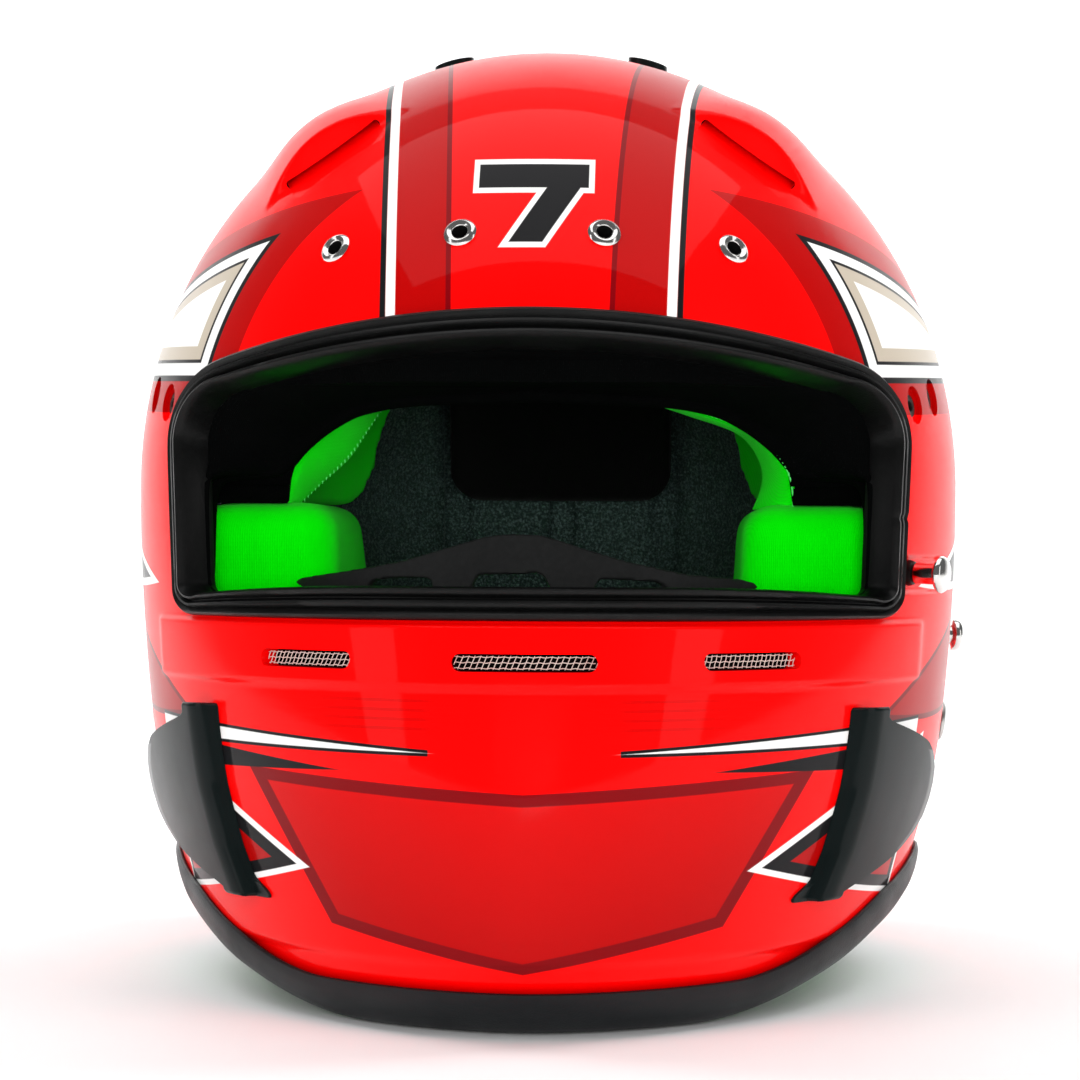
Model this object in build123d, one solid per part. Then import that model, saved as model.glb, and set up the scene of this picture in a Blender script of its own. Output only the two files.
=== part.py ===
from build123d import *
import os
from functools import lru_cache
from math import cos, pi, radians, sin

os.makedirs("parts", exist_ok=True)

# Driving sizes of the shell, in millimetres. The wearer faces -Y and +X is the wearer's left.
HALF_WIDTH = 125.0
FRONT_REACH = 164.0
REAR_REACH = 164.0
WIDEST_HEIGHT = 145.5
CROWN_RISE = 133.5
SHELL_WALL = 4.0
OVERRUN = 30.0
FIT = 0.3
SNUG = 0.1

# Shell sections below the widest line: share of WIDEST_HEIGHT, HALF_WIDTH, FRONT_REACH and
# REAR_REACH, then the roundness exponents of the front and rear halves.
STATION_SHARES = [
    (-0.06, 0.775, 0.850, 0.670, 1.80, 2.1),
    (0.0, 0.808, 0.890, 0.707, 1.80, 2.1),
    (0.096, 0.848, 0.963, 0.762, 1.78, 2.1),
    (0.22, 0.888, 0.994, 0.829, 1.76, 2.1),
    (0.412, 0.948, 1.0, 0.902, 1.76, 2.1),
    (0.6186, 0.981, 0.982, 0.951, 1.80, 2.1),
    (0.79, 0.995, 0.939, 0.979, 1.86, 2.1),
    (1.0, 1.0, 0.9024, 1.0, 1.95, 2.1),
]
# Crown sections: angles above the widest line in degrees, and how the roundness changes.
CROWN_ANGLES = (14, 28, 42, 55, 67, 77, 84.5)
CROWN_BLEND_ANGLE = 30
CROWN_ROUNDNESS_SHARES = (0.07, -0.05)
SECTION_POINTS = 36

# Base edge: the side arch between the front and rear resting lengths.
ARCH_RISE = 26.0
ARCH_FRONT_SHARES = [(-0.784, 0.0), (-0.552, 0.34), (-0.356, 0.68), (0.0, 1.0)]
ARCH_REAR_SHARES = [(0.283, 0.70), (0.438, 0.36), (0.622, 0.0)]
TRIM_HEIGHT = 12.0
TRIM_SEAT = 3.0
TRIM_PROUD = 2.5
TRIM_INNER = 2.5

# Eyeport seal: outline of its outer edge seen from the front.
EYEPORT_TOP = 190.6
EYEPORT_SHOULDER = 174.0
EYEPORT_BOTTOM = 108.5
EYEPORT_HALF_TOP = 104.6
EYEPORT_HALF_BOTTOM = 101.6
EYEPORT_TOP_RADIUS = 23.0
EYEPORT_BOTTOM_RADIUS = 7.0
SEAL_FLANGE = 5.0
SEAL_WALL = 4.0
SEAL_PROUD = 2.2
SEAL_LIP_PROUD = 3.4
SEAL_LIP = 2.4
SEAL_DEPTH = 4.0

# Raised vent band on the chin bar, and its three slots.
BAND_PROUD = 1.5
BAND_BOTTOM = 90.5
BAND_TOP = 107.0
BAND_HALF_WIDTH = 111.0
BAND_REAR = -62.0
BAND_CORNER = 5.0
VENT_HEIGHT = 97.7
VENT_SLOT = 4.7
CENTRE_VENT_LENGTH = 38.0
SIDE_VENT_LENGTH = 34.0
SIDE_VENT_X = 59.5
MESH_DEPTH = 1.6
MESH_THICK = 0.8

# Brow scoops: where the inlet lies on the shell, its size, and the hood behind it.
SCOOP_X = 59.0
SCOOP_Y = -79.0
SCOOP_TURN = -35.0
HOOD_HALF_WIDTH = 24.0
HOOD_LENGTH = 58.0
HOOD_RADIUS = 16.0
HOOD_SINK = 8.5
HOOD_TILT = 12.0
INLET_WIDTH = 30.0
INLET_HEIGHT = 3.4
INLET_LIFT = 0.5
INLET_DEPTH = 12.0
INLET_DUCT = 7.0

# Low exhaust vents on the crown.
TOP_VENT_X = 30.0
TOP_VENT_Y = 17.0
TOP_VENT_LENGTH = 46.0
TOP_VENT_WIDTH = 12.0
TOP_VENT_PROUD = 3.0
TOP_VENT_SLOT = 3.0

# Eyelets in the brow.
EYELET_X = (19.4, 54.3)
EYELET_Z = (212.2, 209.2)
EYELET_DIAMETER = 9.0
EYELET_HOLE = 4.2
EYELET_BARREL = 6.0
EYELET_FLANGE = 1.1

# Threaded inserts for a face shield, in round recesses.
PIVOT_FRONT_YZ = (-70.0, 169.0)
PIVOT_REAR_YZ = (-53.0, 172.0)
PIVOT_RECESS = 11.0
PIVOT_RECESS_DEPTH = 1.5
PIVOT_BARREL = 6.4
PIVOT_THREAD = 3.3
PIVOT_FLANGE = 12.0
PIVOT_FLANGE_THICK = 1.2

# Lock post for a face shield, on the wearer's left only, in a shallow pocket.
LOCK_YZ = (-74.0, 121.0)
LOCK_NECK = 4.0
LOCK_NECK_LENGTH = 2.5
LOCK_BARREL = 5.9
LOCK_BARREL_LENGTH = 6.5
LOCK_HEAD = 10.5
LOCK_HEAD_LENGTH = 3.0
LOCK_NUT = 10.0
LOCK_NUT_THICK = 2.0
LOCK_POCKET_DEPTH = 1.5
LOCK_POCKET_Y = (-96.0, -46.0)
LOCK_POCKET_Z = (115.0, 126.0)
LOCK_POCKET_CORNER = 4.0

# Tether anchor posts on both sides.
ANCHOR_YZ = (45.0, 101.0)
ANCHOR_FOOT = 10.0
ANCHOR_FOOT_THICK = 1.5
ANCHOR_SHAFT = 6.0
ANCHOR_REACH = 12.5
ANCHOR_HEAD = 10.5
ANCHOR_HEAD_THICK = 3.0
ANCHOR_THREAD = 5.0
ANCHOR_NUT = 16.0
ANCHOR_NUT_THICK = 2.0

# Winglets on the lower sides of the chin bar: outline seen from the side.
WINGLET_GAP = 5.0
WINGLET_WALL = 2.5
WINGLET_POINTS = [(-103.5, 84.0), (-111.5, 31.5), (-75.0, 42.0), (-57.5, 54.0), (-59.0, 68.0), (-70.0, 73.5)]
WINGLET_RADII = [4.0, 4.0, 14.0, 10.0, 8.0, 8.0]
WINGLET_BAR = 4.5
WINGLET_LEDGE = 4.0

# Crushable liner.
LINER_THICK = 36.0
CHIN_LINER_THICK = 22.0
CHIN_LINER_REAR = -75.3
CHIN_LINER_TOP = 108.0
LINER_BOTTOM = 60.0
LINER_FRONT = -130.0
LINER_SIDE_FRONT = -72.0
FACE_TOP = 172.0
FACE_POINT_SHARES = [(0.30, 1.0), (0.60, 0.988), (0.76, 0.968), (0.88, 0.939), (0.97, 0.882), (1.0, 0.805)]
FACE_HALF_WIDTH = 73.0
FACE_DEPTH = 60.0
GROOVE_X = (0.0, 36.0)
GROOVE_WIDTH = 9.0
GROOVE_DEPTH = 4.0

# Cheek pads: outline seen from the side, with a crowned inner face.
CHEEK_INNER = 50.0
CHEEK_POINTS = [
    (-75.0, 56.0),
    (-75.0, 140.5),
    (6.0, 140.5),
    (24.0, 120.0),
    (24.0, 62.0),
    (2.0, 44.0),
    (-60.0, 44.0),
]
CHEEK_RADIUS = 9.0
CHEEK_CROWN = 9.0
CHEEK_STEPS = 4
CHEEK_INSET = 7.5
CHEEK_BLOCK_THICK = 13.0
CHEEK_FRONT = 9.0

# Comfort liner of the crown.
COMFORT_THICK = 7.5
CENTRE_PAD_WIDTH = 76.0
CENTRE_PAD_FRONT = -30.0
CENTRE_PAD_BOTTOM = 144.0
SIDE_PAD_Y = (-58.0, 74.0)
SIDE_PAD_Z = (141.0, 212.0)
SIDE_PAD_CORNER = 16.0
PAD_EDGE = 2.5
BROW_PAD_REAR = -42.0
BROW_PAD_TOP = 196.0
BROW_PAD_HALF_WIDTH = 58.0

# Neck roll along the rear and sides of the base.
ROLL_THICK = 22.0
ROLL_FRONT = 27.0
ROLL_TOP = 57.0

# Breath deflector over the chin bar.
DEFLECTOR_THICK = 2.4
DEFLECTOR_HALF_WIDTH = 64.0
DEFLECTOR_BOTTOM = 92.0
DEFLECTOR_END_TOP = 117.0
DEFLECTOR_PEAK = 128.3
DEFLECTOR_WINDOW_Z = (112.5, 121.5)
DEFLECTOR_WINDOW_X = (0.0, 30.5)
DEFLECTOR_WINDOW_WIDTH = (22.0, 18.6)
DEFLECTOR_WINDOW_TAPER = 3.0

# Chin strap webbing, its rivets and its two rings.
WEB_WIDTH = 25.0
WEB_THICK = 1.8
WEB_WALL_GAP = 1.0
WEB_TOP = 84.0
WEB_TURN_HEIGHT = 66.0
WEB_EXIT_HEIGHT = 60.0
WEB_HANG_X = 47.0
WEB_SLOT_ROOM = 0.8
WEB_BEND = 5.0
SLEEVE_LENGTH = 20.0
FOLD_RADIUS = 2.1
FOLD_HEIGHT = 1.9
FOLD_END_X = 6.0
FOLD_TURN_X = 41.0
RIVET_HEIGHT = 75.0
RIVET_HEAD = 12.0
RIVET_HEAD_THICK = 1.6
RIVET_SHANK = 5.0
WASHER = 14.0
WASHER_THICK = 0.9
RING_WIRE = 4.0
RING_PITCH = 4.6
RING_AXIS_HEIGHT = 28.0
RING_HALF_WIDTH = 16.6
RING_DEPTH = 19.0
RING_CORNER = 3.4
RING_CLEARANCE = 0.05
RING_SHOULDER_SHARES = (1.0, 0.45)
RING_TOE_SHARES = (0.5, 1.0)

SIDES = {"left": 1, "right": -1}


def power(value, exponent):
    """Signed power."""
    return abs(value) ** exponent * (1 if value >= 0 else -1)


def section(height, half, front, rear, front_round, rear_round):
    """One level closed curve of the shell."""
    points = []
    shares = [index / SECTION_POINTS for index in range(SECTION_POINTS + 1)]
    for index in range(SECTION_POINTS):
        turn = 2 * pi * index / SECTION_POINTS
        reach, roundness = (rear, rear_round) if sin(turn) >= 0 else (front, front_round)
        points.append(
            Vector(
                half * power(cos(turn), 2 / roundness),
                reach * power(sin(turn), 2 / roundness),
                height,
            )
        )
    return Wire([Edge.make_spline(points, periodic=True, parameters=shares)])


@lru_cache(maxsize=None)
def body(offset):
    """The solid inside the shell's outer face, grown by offset."""
    wires = []
    for height, half, front, rear, front_round, rear_round in STATION_SHARES:
        wires.append(
            section(
                height * WIDEST_HEIGHT,
                half * HALF_WIDTH + offset,
                front * FRONT_REACH + offset,
                rear * REAR_REACH + offset,
                front_round,
                rear_round,
            )
        )
    widest = STATION_SHARES[-1]
    for angle in CROWN_ANGLES:
        narrow = cos(radians(angle))
        blend = min(1, angle / CROWN_BLEND_ANGLE)
        wires.append(
            section(
                WIDEST_HEIGHT + (CROWN_RISE + offset) * sin(radians(angle)),
                (HALF_WIDTH + offset) * narrow,
                (widest[2] * FRONT_REACH + offset) * narrow,
                (REAR_REACH + offset) * narrow,
                widest[4] + CROWN_ROUNDNESS_SHARES[0] * blend,
                widest[5] + CROWN_ROUNDNESS_SHARES[1] * blend,
            )
        )
    top = Vertex(0, 0, WIDEST_HEIGHT + CROWN_RISE + offset)
    return Solid.make_loft([*wires, top])


@lru_cache(maxsize=None)
def wall(outer, inner):
    """The closed wall between two grown bodies."""
    return body(outer) - body(inner)


def front_prism(face, near, far):
    """An outline in X and Z, drawn out from Y = near back to Y = far."""
    return Pos(0, far, 0) * extrude(Plane.XZ * face, far - near)


def side_prism(face, side):
    """An outline in Y and Z, drawn out over one side of the helmet."""
    solid = extrude(Plane.YZ * face, HALF_WIDTH + OVERRUN)
    return solid if side > 0 else mirror(solid, Plane.YZ)


def polygon(points, radii):
    """A closed outline with rounded corners."""
    return make_face(FilletPolyline(*points, radius=radii, close=True))


def box_between(x_span, y_span, z_span):
    """A box from its lowest to its highest corner."""
    size = [span[1] - span[0] for span in (x_span, y_span, z_span)]
    centre = [(span[1] + span[0]) / 2 for span in (x_span, y_span, z_span)]
    return Pos(*centre) * Box(*size)


def turned(plane, profile):
    """A turned piece on the plane's normal, from (radius, height) points."""
    face = make_face(Plane.XZ * Polyline(*profile, close=True))
    return plane.location * revolve(face, Axis.Z)


def side_plane(place, side, offset=0):
    """The plane on a grown body at a side place (y, z), facing outwards."""
    axis = Axis((0, place[0], place[1]), (side, 0, 0))
    hits = body(offset).find_intersection_points(axis)
    point, normal = max(hits, key=lambda hit: hit[0].X * side)
    if normal.X * side < 0:
        normal = normal * -1
    return Plane(origin=point, x_dir=(0, 1, 0), z_dir=normal)


def front_plane(across, height, offset=0):
    """The plane on a grown body at a front place (x, z), facing outwards."""
    axis = Axis((across, 0, height), (0, -1, 0))
    hits = body(offset).find_intersection_points(axis)
    point, normal = min(hits, key=lambda hit: hit[0].Y)
    if normal.Y > 0:
        normal = normal * -1
    return Plane(origin=point, x_dir=(-normal.Y, normal.X, 0), z_dir=normal)


def crown_plane(across, along):
    """The plane on the crown over a place (x, y), facing outwards."""
    axis = Axis((across, along, WIDEST_HEIGHT), (0, 0, 1))
    hits = body(0).find_intersection_points(axis)
    point, normal = max(hits, key=lambda hit: hit[0].Z)
    if normal.Z < 0:
        normal = normal * -1
    return point, normal


def below_arch(lift):
    """Everything under the base edge, with the edge raised by lift."""
    front = [(y * FRONT_REACH, z * ARCH_RISE + lift) for y, z in ARCH_FRONT_SHARES]
    rear = [(y * REAR_REACH, z * ARCH_RISE + lift) for y, z in ARCH_REAR_SHARES]
    curve = Spline(*front, *rear, tangents=[(1, 0), (1, 0)])
    start = (-FRONT_REACH - OVERRUN, lift)
    end = (REAR_REACH + OVERRUN, lift)
    outline = [
        Line(start, front[0]),
        curve,
        Line(rear[-1], end),
        Line(end, (end[0], -OVERRUN)),
        Line((end[0], -OVERRUN), (start[0], -OVERRUN)),
        Line((start[0], -OVERRUN), start),
    ]
    face = make_face(outline)
    return extrude(Plane.YZ * face, HALF_WIDTH + OVERRUN, both=True)


@lru_cache(maxsize=None)
def eyeport(offset):
    """The eyeport outline grown by offset, as a prism through the front of the helmet."""
    arc = ThreePointArc(
        (-EYEPORT_HALF_TOP, EYEPORT_SHOULDER),
        (0, EYEPORT_TOP),
        (EYEPORT_HALF_TOP, EYEPORT_SHOULDER),
    )
    rest = Polyline(
        (EYEPORT_HALF_TOP, EYEPORT_SHOULDER),
        (EYEPORT_HALF_BOTTOM, EYEPORT_BOTTOM),
        (-EYEPORT_HALF_BOTTOM, EYEPORT_BOTTOM),
        (-EYEPORT_HALF_TOP, EYEPORT_SHOULDER),
    )
    face = make_face([arc, *rest.edges()])
    corners = face.vertices().sort_by(Axis.Y)
    face = fillet(corners[:2], EYEPORT_BOTTOM_RADIUS)
    corners = face.vertices().sort_by(Axis.Y)
    face = fillet(corners[-2:], EYEPORT_TOP_RADIUS)
    grown = offset_outline(face, offset)
    return front_prism(grown, -FRONT_REACH - OVERRUN, -OVERRUN)


def offset_outline(face, amount):
    """A flat outline grown or shrunk by amount."""
    return offset(face, amount=amount) if amount else face


@lru_cache(maxsize=None)
def vent_planes():
    """The planes and lengths of the three chin vents."""
    places = {"centre": (0, CENTRE_VENT_LENGTH)}
    for name, side in SIDES.items():
        places[name] = (side * SIDE_VENT_X, SIDE_VENT_LENGTH)
    planes = {}
    for name, (across, length) in places.items():
        plane = front_plane(across, VENT_HEIGHT)
        level = Plane(
            origin=plane.origin,
            x_dir=plane.x_dir,
            z_dir=(plane.z_dir.X, plane.z_dir.Y, 0),
        )
        planes[name] = (level, length)
    return planes


def vent_cut(name, margin=0):
    """The slot of one chin vent, drawn through the wall and the liner."""
    plane, length = vent_planes()[name]
    face = plane * SlotOverall(length + 2 * margin, VENT_SLOT + 2 * margin)
    return extrude(face, OVERRUN, both=True)


def scoop_plane(side):
    """The plane of one brow inlet: X along the slit, Y rearwards, Z outwards."""
    point, normal = crown_plane(side * SCOOP_X, SCOOP_Y)
    across = Vector(-side * cos(radians(SCOOP_TURN)), 0, -sin(radians(SCOOP_TURN)))
    across = (across - normal * across.dot(normal)).normalized()
    if side < 0:
        across = across * -1
    plane = Plane(origin=point, x_dir=across, z_dir=normal)
    if plane.y_dir.Y < 0:
        plane = Plane(origin=point, x_dir=across * -1, z_dir=normal)
    return plane


def scoop_hood(side):
    """The hood behind one brow inlet, fading into the crown."""
    ball = scale(Sphere(1), by=(HOOD_HALF_WIDTH, HOOD_LENGTH, HOOD_RADIUS))
    hood = Rot(-HOOD_TILT, 0, 0) * Pos(0, 0, -HOOD_SINK) * ball
    keep = Pos(0, HOOD_LENGTH, 0) * Box(2 * HOOD_LENGTH, 2 * HOOD_LENGTH, 2 * HOOD_LENGTH)
    return scoop_plane(side).location * (hood & keep) - body(-SHELL_WALL / 2)


def scoop_duct(side):
    """The slit under the hood and the hole below it through the wall."""
    slit = box_between(
        (-INLET_WIDTH / 2, INLET_WIDTH / 2),
        (-INLET_DEPTH, INLET_DEPTH),
        (INLET_LIFT, INLET_LIFT + INLET_HEIGHT),
    )
    hole = box_between(
        (-INLET_WIDTH / 2 + INLET_HEIGHT, INLET_WIDTH / 2 - INLET_HEIGHT),
        (INLET_DEPTH - INLET_DUCT, INLET_DEPTH),
        (-SHELL_WALL - INLET_DUCT, INLET_LIFT + INLET_HEIGHT),
    )
    return scoop_plane(side).location * (slit + hole)


def pivot_planes():
    """The outward planes of the four face shield inserts."""
    return [
        side_plane(place, side)
        for side in SIDES.values()
        for place in (PIVOT_FRONT_YZ, PIVOT_REAR_YZ)
    ]


def eyelet_planes():
    """The outward planes of the four brow eyelets."""
    return [
        front_plane(side * across, height)
        for side in SIDES.values()
        for across, height in zip(EYELET_X, EYELET_Z)
    ]


def rivet_plane(side):
    """The outward plane of one chin strap rivet."""
    return side_plane((0, RIVET_HEIGHT), side)


def bore(plane, diameter, low, high):
    """A cylinder on the plane's normal, from low to high."""
    length = high - low
    return plane.location * Pos(0, 0, low + length / 2) * Cylinder(diameter / 2, length)


def lock_pocket():
    """The shallow pocket that the lock post stands in."""
    face = Rectangle(LOCK_POCKET_Y[1] - LOCK_POCKET_Y[0], LOCK_POCKET_Z[1] - LOCK_POCKET_Z[0])
    face = fillet(face.vertices(), LOCK_POCKET_CORNER)
    face = Pos(sum(LOCK_POCKET_Y) / 2, sum(LOCK_POCKET_Z) / 2) * face
    return side_prism(face, 1) - body(-LOCK_POCKET_DEPTH)


def shell_holes():
    """Every fastener hole through the shell."""
    deep = -OVERRUN / 2
    tools = []
    for plane in pivot_planes():
        tools.append(bore(plane, PIVOT_RECESS, -PIVOT_RECESS_DEPTH, OVERRUN))
        tools.append(bore(plane, PIVOT_BARREL + 2 * SNUG, deep, 0))
    for plane in eyelet_planes():
        tools.append(bore(plane, EYELET_BARREL + 2 * SNUG, deep, OVERRUN))
    tools.append(bore(side_plane(LOCK_YZ, 1), LOCK_NECK + 2 * SNUG, deep, OVERRUN))
    for side in SIDES.values():
        tools.append(bore(side_plane(ANCHOR_YZ, side), ANCHOR_THREAD + 2 * SNUG, deep, OVERRUN))
        tools.append(bore(rivet_plane(side), RIVET_SHANK + 2 * SNUG, deep, OVERRUN))
    return Part() + tools


def outer_shell():
    """The hard shell with its openings, band, hoods and fastener holes."""
    band_face = Rectangle(2 * BAND_HALF_WIDTH, BAND_TOP - BAND_BOTTOM)
    band_face = fillet(band_face.vertices(), BAND_CORNER)
    band_face = Pos(0, (BAND_TOP + BAND_BOTTOM) / 2) * band_face
    band = wall(BAND_PROUD, -SHELL_WALL / 2) & front_prism(band_face, -FRONT_REACH - OVERRUN, BAND_REAR)
    shell = wall(0, -SHELL_WALL) + band
    shell = shell + [scoop_hood(side) for side in SIDES.values()]
    ducts = Part() + [scoop_duct(side) for side in SIDES.values()]
    vents = Part() + [vent_cut(name) for name in ("centre", "left", "right")]
    tools = [below_arch(TRIM_SEAT), eyeport(-SEAL_FLANGE), lock_pocket(), ducts, vents]
    return cut_all(shell, [*tools, shell_holes()])


def base_trim():
    """The rubber edging that grips the base edge of the shell."""
    trim = wall(TRIM_PROUD, -SHELL_WALL - TRIM_INNER) - below_arch(0)
    trim = trim & below_arch(TRIM_HEIGHT)
    groove = wall(SNUG, -SHELL_WALL - SNUG) - below_arch(TRIM_SEAT)
    return trim - groove


def eyeport_seal():
    """The rubber seal that grips the edge of the eyeport."""
    ring = eyeport(0) - eyeport(-SEAL_FLANGE - SEAL_WALL)
    seal = wall(SEAL_PROUD, -SHELL_WALL - SEAL_DEPTH) & ring
    lip_ring = eyeport(-SEAL_FLANGE - SEAL_WALL + SEAL_LIP) - eyeport(-SEAL_FLANGE - SEAL_WALL)
    seal = seal + (wall(SEAL_LIP_PROUD, 0) & lip_ring)
    band_room = wall(BAND_PROUD + SNUG, -SHELL_WALL - SNUG) - eyeport(-SEAL_FLANGE - SNUG)
    band_zone = box_between(
        (-HALF_WIDTH, HALF_WIDTH),
        (-FRONT_REACH - OVERRUN, 0),
        (0, BAND_TOP + SNUG),
    )
    groove = wall(SNUG, -SHELL_WALL - SNUG) - eyeport(-SEAL_FLANGE - SNUG)
    return cut_all(seal, [groove, band_room & band_zone, fastener_room()])


@lru_cache(maxsize=None)
def fastener_room():
    """Clear room behind the wall for every fastener, cut from the liner."""
    depth = SHELL_WALL + PIVOT_FLANGE_THICK + ANCHOR_NUT_THICK + FIT
    rooms = [bore(plane, PIVOT_FLANGE + 2 * FIT, -depth, 0) for plane in pivot_planes()]
    rooms += [bore(plane, EYELET_DIAMETER + 2 * FIT, -depth, 0) for plane in eyelet_planes()]
    rooms.append(bore(side_plane(LOCK_YZ, 1), LOCK_NUT + 2 * FIT, -depth, 0))
    for side in SIDES.values():
        rooms.append(bore(side_plane(ANCHOR_YZ, side), ANCHOR_NUT + 2 * FIT, -depth, 0))
        rooms.append(bore(rivet_plane(side), WASHER + 2 * FIT, -depth - WEB_THICK, 0))
    return Part() + rooms


def cut_all(solid, tools):
    """The largest solid left when each tool is cut from a solid in turn."""
    for tool in tools:
        solid = solid - tool
    return max(solid.solids(), key=lambda piece: piece.volume)


@lru_cache(maxsize=None)
def seal_room():
    """The space that the seal's inner flange takes behind the wall."""
    return wall(0, -SHELL_WALL - SEAL_DEPTH - FIT) & eyeport(FIT)


def cheek_outline(inset=0):
    """The cheek pad outline in Y and Z, drawn in by inset."""
    face = polygon(CHEEK_POINTS, [CHEEK_RADIUS] * len(CHEEK_POINTS))
    return offset_outline(face, -inset)


def face_opening():
    """The liner's opening round the face, drawn through the front."""
    half = [(x * FACE_HALF_WIDTH, z * FACE_TOP) for x, z in FACE_POINT_SHARES]
    half.append((FACE_HALF_WIDTH, 0))
    points = [*half, *[(-x, z) for x, z in reversed(half)]]
    outline = make_face(Polyline(*points, close=True))
    return front_prism(outline, -FRONT_REACH - OVERRUN, -FACE_DEPTH / 2)


def rear_grooves():
    """The upright grooves in the rear wall of the liner."""
    inner = -SHELL_WALL - LINER_THICK
    layer = wall(inner + GROOVE_DEPTH, inner - GROOVE_DEPTH)
    grooves = []
    for across in (-GROOVE_X[1], GROOVE_X[0], GROOVE_X[1]):
        channel = box_between(
            (across - GROOVE_WIDTH / 2, across + GROOVE_WIDTH / 2),
            (ROLL_FRONT, REAR_REACH),
            (0, WIDEST_HEIGHT + CROWN_RISE / 2),
        )
        grooves.append(layer & channel)
    return Part() + grooves


def crown_liner():
    """The crushable liner of the crown, open at the face and grooved at the rear."""
    wide = (-HALF_WIDTH, HALF_WIDTH)
    cheek_low = CHEEK_POINTS[0][1] + CHEEK_RADIUS
    side_front = box_between(wide, (-FRONT_REACH, LINER_SIDE_FRONT), (0, FACE_TOP))
    tools = [
        box_between(wide, (-FRONT_REACH, REAR_REACH), (-OVERRUN, LINER_BOTTOM)),
        box_between(wide, (-FRONT_REACH, LINER_FRONT), (0, EYEPORT_TOP)),
        box_between(wide, (-FRONT_REACH, CHIN_LINER_REAR), (0, CHIN_LINER_TOP)),
        box_between(wide, (-FRONT_REACH, ROLL_FRONT), (0, cheek_low)),
        side_front & eyeport(-SEAL_FLANGE - SEAL_WALL),
        face_opening(),
        *[side_prism(cheek_outline(-FIT), side) for side in SIDES.values()],
        rear_grooves(),
    ]
    liner = wall(-SHELL_WALL - FIT, -SHELL_WALL - LINER_THICK)
    return cut_all(liner, [*tools, seal_room(), fastener_room()])


def chin_liner():
    """The crushable liner behind the chin bar, open behind each vent."""
    liner = wall(-SHELL_WALL - FIT, -SHELL_WALL - CHIN_LINER_THICK) - below_arch(TRIM_HEIGHT + FIT)
    zone = box_between(
        (-HALF_WIDTH, HALF_WIDTH),
        (-FRONT_REACH, CHIN_LINER_REAR),
        (0, CHIN_LINER_TOP),
    )
    liner = liner & zone
    vents = Part() + [vent_cut(name, FIT) for name in ("centre", "left", "right")]
    return cut_all(liner, [seal_room(), fastener_room(), vents])


def cheek_form(side):
    """A crowned block over the cheek outline, from the inner face to past the wall."""
    wires = []
    for step in range(CHEEK_STEPS + 1):
        angle = radians(90 * step / CHEEK_STEPS)
        inset = CHEEK_INSET * (1 - sin(angle))
        across = CHEEK_INNER + CHEEK_CROWN * (1 - cos(angle))
        face = cheek_outline(inset)
        wires.append(Pos(across, 0, 0) * (Plane.YZ * face).wires()[0])
    rounded = Solid.make_loft(wires, ruled=True)
    straight = extrude(Pos(CHEEK_INNER + CHEEK_CROWN, 0, 0) * (Plane.YZ * cheek_outline()), HALF_WIDTH)
    form = Part() + rounded + straight
    return form if side > 0 else mirror(form, Plane.YZ)


def web_path(side):
    """The chin strap route from the rivet, through the cheek pad, to where it hangs."""
    wall_top = side_plane((0, WEB_TOP), side, -SHELL_WALL).origin.X * side
    wall_turn = side_plane((0, WEB_TURN_HEIGHT), side, -SHELL_WALL).origin.X * side
    reach = WEB_WALL_GAP + WEB_THICK / 2
    return [
        (side * (wall_top - reach), WEB_TOP),
        (side * (wall_turn - reach), WEB_TURN_HEIGHT),
        (side * (CHEEK_INNER + WEB_BEND), WEB_EXIT_HEIGHT),
        (side * WEB_HANG_X, WEB_EXIT_HEIGHT - 2 * WEB_BEND),
    ]


def web_band(points, radii, thick, width):
    """A flat band of webbing along a route in X and Z."""
    path = FilletPolyline(*points, radius=radii)
    face = make_face(path.wire().offset_2d(thick / 2, kind=Kind.ARC, side=Side.BOTH))
    return extrude(Plane.XZ * face, width / 2, both=True)


def web_room(side):
    """The slot for the chin strap through the cheek pad and its block."""
    thick = WEB_THICK + 2 * WEB_SLOT_ROOM
    return web_band(web_path(side), WEB_BEND, thick, WEB_WIDTH + 4 * WEB_SLOT_ROOM)


def cheek_pad(side):
    """The fabric cheek pad: the inner cushion and the front that wraps its block."""
    inner = body(-SHELL_WALL - CHEEK_BLOCK_THICK - FIT)
    front = box_between(
        (-HALF_WIDTH, HALF_WIDTH),
        (-FRONT_REACH, CHEEK_POINTS[0][0] + CHEEK_FRONT),
        (0, WIDEST_HEIGHT),
    )
    reach = inner + (front & body(-SHELL_WALL - FIT))
    pad = cheek_form(side) & reach
    return cut_all(pad, [web_room(side), seal_room(), fastener_room()])


def cheek_block(side):
    """The crushable block between one cheek pad and the shell."""
    layer = wall(-SHELL_WALL - FIT, -SHELL_WALL - CHEEK_BLOCK_THICK)
    zone = box_between(
        (-HALF_WIDTH, HALF_WIDTH),
        (CHEEK_POINTS[0][0] + CHEEK_FRONT + FIT, REAR_REACH),
        (0, WIDEST_HEIGHT),
    )
    block = layer & side_prism(cheek_outline(), side) & zone
    return cut_all(block, [web_room(side), seal_room(), fastener_room()])


def comfort_layer():
    """The thin padded layer on the inside of the crown liner."""
    outer = -SHELL_WALL - LINER_THICK - FIT
    return wall(outer, outer - COMFORT_THICK)


def headliner_centre():
    """The centre pad over the crown, down to the rear wall."""
    zone = box_between(
        (-CENTRE_PAD_WIDTH / 2, CENTRE_PAD_WIDTH / 2),
        (CENTRE_PAD_FRONT, REAR_REACH),
        (CENTRE_PAD_BOTTOM, WIDEST_HEIGHT + CROWN_RISE),
    )
    return comfort_layer() & zone


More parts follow.
